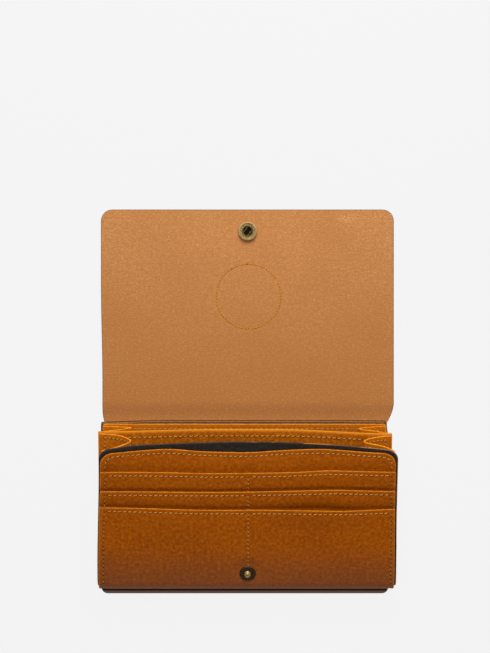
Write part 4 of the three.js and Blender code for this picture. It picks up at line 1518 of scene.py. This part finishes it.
@dataclass
class Interior:
    """The back's lining and the divider, a sheet folded over at its upper edge."""

    layout: Layout
    leather: float = 0.9
    lining_top: float = -5.15  # from the fold
    divider_left: float = 1.4  # the divider's corners are lower than its middle
    divider_right: float = 2.8
    fold_depth: float = 2.3  # how long the divider's rounded upper edge is
    divider_lift: float = 0.7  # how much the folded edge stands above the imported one
    leaf_gap: float = 0.3
    hem: float = 2.2

    @property
    def reach(self) -> tuple[float, float]:
        """Left and right edges of the lining."""
        low, high = self.layout.table.measure("back_lining")
        return low[0] + 0.2, high[0] - 4.6

    def lining_height(self, x: Array, y: Array) -> Array:
        """Middle of the lining: flat, with the hem's pressed line and a faint swell."""
        low, high = self.layout.table.measure("back_lining")
        return (low[2] + high[2]) / 2 + 0.1 * np.sin(x / 23) - 0.18 * groove(y - self.lining_top + self.hem + 0.8, 0.9)

    def lining_face(self, x: Array, y: Array) -> Array:
        """Point of the lining's grain side."""
        return self.layout.table.place(x, y, self.lining_height(x, y) + self.leather / 2)

    def build_lining(self) -> list[bpy.types.Object]:
        """Build the lining and its hem stitches."""
        left, right = self.reach
        low, _ = self.layout.table.measure("back_lining")
        outline = Outline(left, right, low[1], self.lining_top, high_radius=1.2, step=1.2)
        x, y, margin = outline.grid()
        middle = self.layout.table.place(x, y, self.lining_height(x, y))
        lining = Sheet("back_lining_leather", middle, stack(x, y), margin, self.leather,
                       [LINING, LINING, LINING_EDGE], rim=0.5).build()
        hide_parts("back_lining")
        low, high = self.layout.table.measure("lining_hem_thread")
        across = np.linspace(low[0] + 14, high[0] - 16, 50)
        path = np.stack([across, np.full(50, self.lining_top - self.hem - 0.8)], 1)
        stitches = HEM.sew("lining_hem_stitches", path, self.lining_face)
        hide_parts("lining_hem_thread")
        for piece in (lining, stitches):
            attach(piece, "back")
        return [lining, stitches]

    # -- divider

    def divider_crown(self, x: Array) -> Array:
        """The divider's upper edge falls off towards both corners."""
        fall = self.divider_left * smooth((-x - 20) / 75) + self.divider_right * smooth((x - 20) / 72)
        return self.divider_lift - fall

    def divider_path(self, x: Array, s: Array) -> Array:
        """Middle of the folded sheet at x and at s along it.

        s runs up the rear leaf, over a half ellipse and down the front leaf; s = 0 is the middle
        of the fold."""
        radius = (self.leather + self.leaf_gap) / 2
        quarter = self.fold_depth * 1.12
        _, high = self.layout.divider.measure("divider_front_leaf")
        top = high[1] - self.fold_depth - self.leather / 2
        angle = np.clip(s / quarter, -1, 1) * np.pi / 2
        past = np.maximum(np.abs(s) - quarter, 0)
        down = np.clip(past / (top - 1), 0, 1)
        lift = self.divider_crown(x) * (1 - down) ** 2
        n = radius * np.sin(angle)
        sag = -0.5 * hump(x, 80) * np.sin(np.pi * np.clip(down * 2, 0, 1))
        return self.layout.divider.place(x, top + self.fold_depth * np.cos(angle) - past + lift, n + sag)

    def divider_face(self, x: Array, s: Array) -> Array:
        """Point of the folded sheet's grain side, n outwards from the fold."""
        small = 0.2
        middle = self.divider_path(x, s)
        across = self.divider_path(x + small, s) - self.divider_path(x - small, s)
        along = self.divider_path(x, s + small) - self.divider_path(x, s - small)
        return middle - unit(np.cross(across, along)) * self.leather / 2

    def build_divider(self) -> list[bpy.types.Object]:
        """Build the folded divider and its hem stitches, on one face only."""
        low, high = self.layout.divider.measure("divider_front_leaf")
        left, right = low[0] - 1.3, high[0] - 1.9
        length = high[1] - 1.5
        s = np.concatenate([np.linspace(-length, -4, 60), np.linspace(-3.6, 3.6, 45), np.linspace(4, length, 60)])
        x = np.linspace(left, right, 170)
        xs, ss = np.meshgrid(x, s[::-1])
        middle = self.divider_path(xs, ss)
        margin = np.abs(ss)
        piece = Sheet("folded_divider", middle, stack(xs, ss), margin, self.leather,
                      [DIVIDER, DIVIDER, LINING_EDGE], rim=0.3).build()
        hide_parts("divider_rear_leaf", "divider_front_leaf")
        low, high = self.layout.divider.measure("divider_hem_thread")
        across = np.linspace(low[0] + 12, high[0] - 16, 50)
        path = np.stack([across, np.full(50, self.hem + 2.0)], 1)
        stitches = HEM.sew("divider_hem_stitches", path, self.divider_face, flip=True)
        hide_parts("divider_hem_thread")
        for part in (piece, stitches):
            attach(part, "divider")
        return [piece, stitches]


@dataclass
class Gusset:
    """One folded end wall of a pocket: two feet sewn to the panels and a fold that points inwards.

    A section is a smooth curve through (inward, share) points, share being the way from the
    lower panel to the upper one."""

    name: str
    side: Side
    lower: Panel
    upper: Panel
    lower_n: float
    upper_n: float
    lower_edge: float
    upper_edge: float
    lower_top: float
    upper_top: float
    section: Section
    body: str
    joint: str
    anchor: tuple[float, float, float]
    axis: tuple[float, float, float]
    bottom: float = 11.0
    thickness: float = 1.05
    keep: float = 0.38

    def middle(self, a: Array, depth: Array) -> Array:
        """Point at a (0..1) along the section and at a depth below the upper edge, in mm."""
        curve = spline(self.section, 201)
        along = np.linspace(0, 1, len(curve))
        inward = np.interp(a, along, curve[:, 0])
        share = np.interp(a, along, curve[:, 1])
        length = self.lower_top - self.bottom
        down = depth / length
        x = self.lower_edge * (1 - share) + self.upper_edge * share - self.side.value * inward
        low = self.lower.place(x, self.lower_top - down * length, self.lower_n + 0 * x)
        high = self.upper.place(x, self.upper_top - down * (self.upper_top - self.bottom), self.upper_n + 0 * x)
        return low * (1 - share)[..., None] + high * share[..., None]

    def outer(self, sign: float) -> Surface:
        """Function that gives a point of the leather's outer (1) or inner (-1) side."""

        def point(a: Array, depth: Array) -> Array:
            """Offset the middle by half a thickness along the normal of the two directions."""
            small = 0.004
            across = self.middle(a + small, depth) - self.middle(a - small, depth)
            down = self.middle(a, depth + 0.3) - self.middle(a, depth - 0.3)
            return self.middle(a, depth) + sign * unit(np.cross(across, down)) * self.thickness / 2

        return point

    def build(self) -> list[bpy.types.Object]:
        """Build the leather and the stitches on both of its sides."""
        length = self.lower_top - self.bottom
        depth = np.concatenate([np.linspace(0, 6, 13), np.linspace(8, length, 34)])[::-1]
        a = np.linspace(0, 1, 90)
        aa, dd = np.meshgrid(a, depth)
        middle = self.middle(aa, dd)
        if self.side is Side.RIGHT:
            middle, aa, dd = middle[:, ::-1], aa[:, ::-1], dd[:, ::-1]
        leather = Sheet(self.name + "_leather", middle, stack(aa * 46, -dd), np.minimum(dd, 20.0), self.thickness,
                        [LINING, LINING, LINING_EDGE], rim=0.5).build()
        pieces = [leather]
        for sign, label in ((1.0, "outer"), (-1.0, "inner")):
            path = np.stack([np.linspace(0.08, 0.92, 80), np.full(80, 2.3)], 1)
            pieces.append(self._sew(f"{self.name}_hem_{label}", path, sign))
        foot = np.stack([np.full(30, 0.1), np.linspace(1.0, 30.0, 30)], 1)
        pieces.append(self._sew(f"{self.name}_foot_seam", foot, float(self.side.value)))
        for piece in pieces:
            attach(piece, self.body)
            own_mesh(piece)
        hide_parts(self.name)
        return pieces

    def _sew(self, name: str, path: Array, sign: float) -> bpy.types.Object:
        """Sew along flat (a, depth) coordinates, spaced by real distance on the leather."""
        face = self.outer(sign)
        solid = face(path[:, 0], path[:, 1])
        run = np.concatenate([[0.0], np.cumsum(np.linalg.norm(np.diff(solid, axis=0), axis=1))])
        even = np.stack([run, 0 * run], 1)
        lookup = lambda r, k: np.interp(r, run, path[:, k])

        def on_run(r: Array, off: Array) -> Array:
            """Surface point at distance r along the seam and a small way across it."""
            a, depth = lookup(r, 0), lookup(r, 1)
            steep = abs(path[-1, 1] - path[0, 1]) > abs(path[-1, 0] - path[0, 0]) * 46
            return face(a + off / 46, depth) if steep else face(a, depth - off)

        at = run[len(run) // 2]
        probe = lambda dr, do: on_run(np.array([at + dr]), np.array([do]))[0]
        normal = np.cross(probe(0.2, 0) - probe(-0.2, 0), probe(0, 0.2) - probe(0, -0.2))
        away = face(path[40 if len(path) > 40 else 15][None, 0], path[40 if len(path) > 40 else 15][None, 1])[0]
        middle = self.middle(path[40 if len(path) > 40 else 15][None, 0], path[40 if len(path) > 40 else 15][None, 1])[0]
        flip = bool(np.dot(normal, away - middle) < 0)
        return GUSSET_HEM.sew(name, even, on_run, flip)


@dataclass
class GussetSet:
    """The four gussets, two at each end of the pouch."""

    layout: Layout
    interior: Interior
    pouch: Pouch
    rear_left: Section = (
        (0.4, 0.03), (6.0, 0.08), (11.6, 0.13), (15.7, 0.19), (18.9, 0.26), (18.1, 0.34), (12.2, 0.59), (6.0, 0.77),
        (2.2, 0.88), (0.4, 1.0),
    )
    rear_right: Section = (
        (0.4, 0.0), (6.0, 0.07), (13.0, 0.17), (17.8, 0.29), (16.8, 0.42), (11.3, 0.55), (6.4, 0.7), (2.4, 0.86),
        (0.4, 1.0),
    )
    front_left: Section = (
        (0.4, 0.0), (4.2, 0.01), (10.6, 0.06), (14.3, 0.13), (17.8, 0.25), (19.9, 0.4), (17.7, 0.54), (13.3, 0.69),
        (9.0, 0.82), (3.9, 0.94), (0.4, 1.0),
    )
    front_right: Section = (
        (0.4, 0.0), (4.3, 0.02), (9.7, 0.09), (15.0, 0.19), (18.4, 0.36), (16.3, 0.49), (10.7, 0.6), (5.4, 0.74),
        (2.4, 0.88), (0.4, 1.0),
    )

    def build(self) -> list[bpy.types.Object]:
        """Build the four gussets."""
        level, divider, front = self.layout.level, self.layout.divider, self.layout.front
        lining = self.layout.table.measure("back_lining")[1][2]
        leaf = divider.measure("divider_front_leaf")[1]
        inner = self.pouch.wrap.radius - self.pouch.wrap_thickness / 2 - 0.55
        pieces = []
        for side in Side:
            left = side is Side.LEFT
            lining_edge = self.interior.reach[0 if left else 1]
            divider_edge = divider.measure("divider_front_leaf")[0 if left else 1][0] - (1.3 if left else 1.9)
            front_edge = self.pouch.reach[0 if left else 1] - 0.4 * side.value
            divider_top = leaf[1] - (self.interior.divider_left if left else self.interior.divider_right)
            pieces += Gusset(
                f"gusset_rear_{side.label}", side, level, divider, lining + 0.55 - level.z, -leaf[2] - 0.5,
                lining_edge, divider_edge, self.layout.fold + self.interior.lining_top - 1.2 - level.y,
                divider_top - 0.6, self.rear_left if left else self.rear_right, "back", "divider_tilt",
                (0.0, level.y * MM, (lining + 0.1) * MM), (0.0, 0.0, 1.0),
            ).build()
            pieces += Gusset(
                f"gusset_front_{side.label}", side, divider, front, leaf[2] + 0.5, inner, divider_edge, front_edge,
                divider_top - 0.9, self.pouch.wrap_edge - 0.9, self.front_left if left else self.front_right,
                "divider", "front_tilt",
                tuple((divider.place(np.array(0.0), np.array(0.0), np.array(leaf[2] + 0.1)) * MM).tolist()),
                tuple(divider.out().tolist()), keep=0.37,
            ).build()
        return pieces


@dataclass
class Snap:
    """The snap fastener: cap and socket on the flap, stud and rivet on the pouch."""

    layout: Layout
    pouch: Pouch
    shell: Shell
    wire_angle: float = 50.0  # degrees, how the spring sits in its socket
    wire_spread: float = 1.75
    wire: float = 0.3

    def _socket_place(self, x: Array, u: Array, n: Array) -> Array:
        """Put socket coordinates on the flap's raw side."""
        sx, sy = self.shell.socket_centre
        low, _ = self.layout.table.measure("snap_socket")
        return self.layout.table.place(sx + x, sy + u, low[2] + n)

    def _stud_place(self, x: Array, u: Array, n: Array) -> Array:
        """Put stud coordinates on the pouch's pad."""
        low, high = self.layout.front.measure("snap_stud")
        return self.layout.front.place((low[0] + high[0]) / 2 + x, (low[1] + high[1]) / 2 + u, low[2] + n)

    def build_socket(self) -> list[bpy.types.Object]:
        """Socket ring, its funnel, a near-black well inside it as painted shade, and the spring across it."""
        radius = 6.25
        ring = soften([
            (1.7, 0.0), (radius, 0.0), (radius, 1.6), (radius - 0.2, 2.5), (radius - 0.75, 2.9), (radius - 1.3, 2.6),
            (radius - 2.0, 2.3), (3.5, 2.5), (3.05, 2.3), (2.7, 1.75), (4.6, 1.5), (4.75, 0.55), (1.7, 0.5),
        ], 0.4)
        rubbed = lambda r: 0.2 * smooth((r - 5.2) / 0.5) - 0.25 * smooth((4.2 - r) / 1.2)
        socket = turned("snap_socket_ring", ring, self._socket_place, BRASS, closed=True, wear=rubbed)
        # painted shade: a near-black disc fills the well under the spring
        well = soften([(0.0, 0.52), (4.5, 0.52), (4.5, 0.8), (0.0, 0.8)], 0.1)
        well_piece = turned("snap_socket_well", well, self._socket_place, WELL)
        spring = self._spring()
        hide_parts("snap_socket")
        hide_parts("socket_spring")
        return [socket, well_piece, spring]

    def _spring(self) -> bpy.types.Object:
        """A round wire bent to a flat loop: two straight legs joined by half circles."""
        leg = 3.1
        turn = np.linspace(-np.pi / 2, np.pi / 2, 16)
        straight = np.linspace(-leg, leg, 12)[1:-1]
        one = np.stack([leg + self.wire_spread * np.cos(turn), self.wire_spread * np.sin(turn)], 1)
        back = np.stack([straight[::-1], np.full(len(straight), self.wire_spread)], 1)
        line = np.vstack([one, back, -one, -back])
        forward = unit(np.roll(line, -1, 0) - np.roll(line, 1, 0))
        aside = np.stack([forward[:, 1], -forward[:, 0]], 1)
        around = np.linspace(0, 2 * np.pi, 12, endpoint=False)
        xy = line[:, None] + aside[:, None] * (self.wire * np.cos(around))[:, None]
        c, s = math.cos(math.radians(self.wire_angle)), math.sin(math.radians(self.wire_angle))
        x = xy[..., 0] * c - xy[..., 1] * s
        u = xy[..., 0] * s + xy[..., 1] * c
        points = self._socket_place(x, u, 1.3 + self.wire * np.sin(around) + 0 * x)
        number = np.arange(points.size // 3).reshape(points.shape[:2])
        number = np.hstack([number, number[:, :1]])
        faces = quads(np.vstack([number, number[:1]]))
        return make_piece("socket_spring_wire", points.reshape(-1, 3), faces[:, ::-1], [SPRING],
                          values={"wear": np.zeros(points.size // 3)})

    def build_cap(self) -> bpy.types.Object:
        """The domed cap on the outside of the flap."""
        low, high = self.layout.table.measure("snap_cap")
        sx, sy = self.shell.socket_centre
        dome = [(r, 0.55 * (r / 5.4) ** 2) for r in np.linspace(0, 5.4, 9)]
        profile = np.vstack([dome, soften([dome[-1], (6.25, 0.85), (6.25, 1.5), (1.5, 1.5), (1.5, 3.4), (0.0, 3.4)], 0.3)[1:]])
        place = lambda x, u, n: self.layout.table.place(sx + x, sy + u, low[2] + n)
        cap = turned("snap_cap_domed", profile, place, DARK_BRASS)
        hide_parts("snap_cap")
        return cap

    def build_stud(self) -> list[bpy.types.Object]:
        """The stud on the pouch and the rivet that holds it from inside."""
        flange = 5.4
        profile = soften([
            (0.0, 3.4), (0.7, 3.36), (1.1, 3.22), (1.34, 2.95), (1.36, 2.56), (1.75, 2.48), (2.0, 2.28),
            (1.95, 2.05), (1.55, 1.7), (1.55, 1.15), (2.2, 0.85),
            (3.6, 0.62), (4.5, 0.82), (5.1, 0.6), (flange, 0.3), (5.2, 0.02), (0.0, 0.02),
        ], 0.3)
        # painted highlight: brighter dome out to r 2.3 with a darker nose; the groove round it keeps more patina
        rubbed = lambda r: 0.3 * smooth((2.3 - r) / 0.5) - 0.25 * smooth((0.7 - r) / 0.4) - 0.2 * hump(r - 3.1, 1.1)
        stud = turned("snap_stud_turned", profile, self._stud_place, STUD_BRASS, wear=rubbed)
        low, high = self.layout.front.measure("stud_rivet")
        head = soften([(0.0, 0.0), (3.7, 0.0), (4.0, 0.3), (4.0, 0.6), (0.75, 0.6), (0.75, high[2] - low[2]),
                       (0.0, high[2] - low[2])], 0.15)
        middle = (low + high) / 2
        place = lambda x, u, n: self.layout.front.place(middle[0] + x, middle[1] + u, low[2] + n)
        rivet = turned("stud_rivet_turned", head, place, DARK_BRASS)
        for piece, node in ((stud, "snap_stud"), (rivet, "stud_rivet")):
            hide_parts(node)
            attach(piece, "front")
        return [stud, rivet]

    def build(self) -> list[bpy.types.Object]:
        """Build both halves of the snap."""
        flap = [*self.build_socket(), self.build_cap()]
        for piece in flap:
            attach(piece, "flap")
        return flap + self.build_stud()


# ------------------------------------------------------------------ studio


@dataclass
class Studio:
    """Camera, pale board and soft lamps."""

    distance: float = 1.2
    view: tuple[float, float] = (-0.0017, 0.04955)
    frame_height: float = 0.431  # metres that the camera takes in at the table
    sensor: float = 36.0

    def build_camera(self) -> None:
        """A long lens straight above the wallet, the flap's edge at the top."""
        data = bpy.data.cameras.new("camera")
        data.sensor_fit = "VERTICAL"
        data.sensor_height = self.sensor
        data.lens = self.sensor * self.distance / self.frame_height
        data.clip_start, data.clip_end = 0.01, 20.0
        camera = bpy.data.objects.new("camera", data)
        camera.location = (*self.view, self.distance)
        bpy.context.scene.collection.objects.link(camera)
        bpy.context.scene.camera = camera

    def build_board(self) -> bpy.types.Object:
        """A wide flat board just under the wallet."""
        half = 3000.0
        corner = np.array([[-half, -half, -0.05], [half, -half, -0.05], [half, half, -0.05], [-half, half, -0.05]])
        board = make_piece("pale_board", corner, [(0, 1, 2, 3)], [PaleBoard("pale_board", "shell_leather")])
        return board

    def lamp(self, name: str, place: tuple[float, float, float], aim: tuple[float, float, float], size: float,
             power: float, colour: str = "#FFFFFF") -> None:
        """Hang one square soft lamp.

        Args:
            name: the lamp's name.
            place: where it hangs, in metres.
            aim: the point that it faces.
            size: its side in metres.
            power: its power in watts.
            colour: its colour as sRGB hex.
        """
        data = bpy.data.lights.new(name, "AREA")
        data.shape = "SQUARE"
        data.size = size
        data.energy = power
        data.color = linear(colour)[:3]
        hung = bpy.data.objects.new(name, data)
        hung.location = place
        direction = Vector(aim) - Vector(place)
        hung.rotation_euler = direction.to_track_quat("-Z", "Y").to_euler()
        bpy.context.scene.collection.objects.link(hung)

    def build_light(self) -> None:
        """A large lamp beyond the flap, a softer one above, a low card before the pouch, and a
        dim even surround."""
        self.lamp("key", (0.05, 0.62, 0.6), (0, 0.0, 0), 0.55, 8.5)
        self.lamp("above", (-0.1, 0.25, 1.5), (0, 0, 0), 1.0, 10.0)
        self.lamp("low_card", (0, -0.9, 0.16), (0, -0.1, 0), 0.4, 0.9, "#FFE9E4")
        world = bpy.data.worlds.new("surround")
        world.use_nodes = True
        background = world.node_tree.nodes["Background"]
        background.inputs["Color"].default_value = linear("#FFFFFF")
        background.inputs["Strength"].default_value = 0.12
        bpy.context.scene.world = world
        bpy.context.scene.view_settings.view_transform = "Standard"


def main() -> None:
    """Build the wallet part by part."""
    logging.basicConfig(level=logging.INFO, format="%(message)s")
    studio = Studio()
    studio.build_camera()
    layout = Layout()
    shell = Shell(layout)
    pouch = Pouch(layout)
    interior = Interior(layout)
    built = [
        *shell.build(),
        *RoundPatch(shell).build(),
        pouch.build_wrap(),
        pouch.build_pocket(),
        *CardPanel(pouch).build(),
        *interior.build_lining(),
        *interior.build_divider(),
        *GussetSet(layout, interior, pouch).build(),
        *Snap(layout, pouch, shell).build(),
    ]
    for piece in built:
        log.info("%s: %d faces", piece.name, len(piece.data.polygons))
    studio.build_board()
    studio.build_light()


if __name__ == "__main__":
    main()
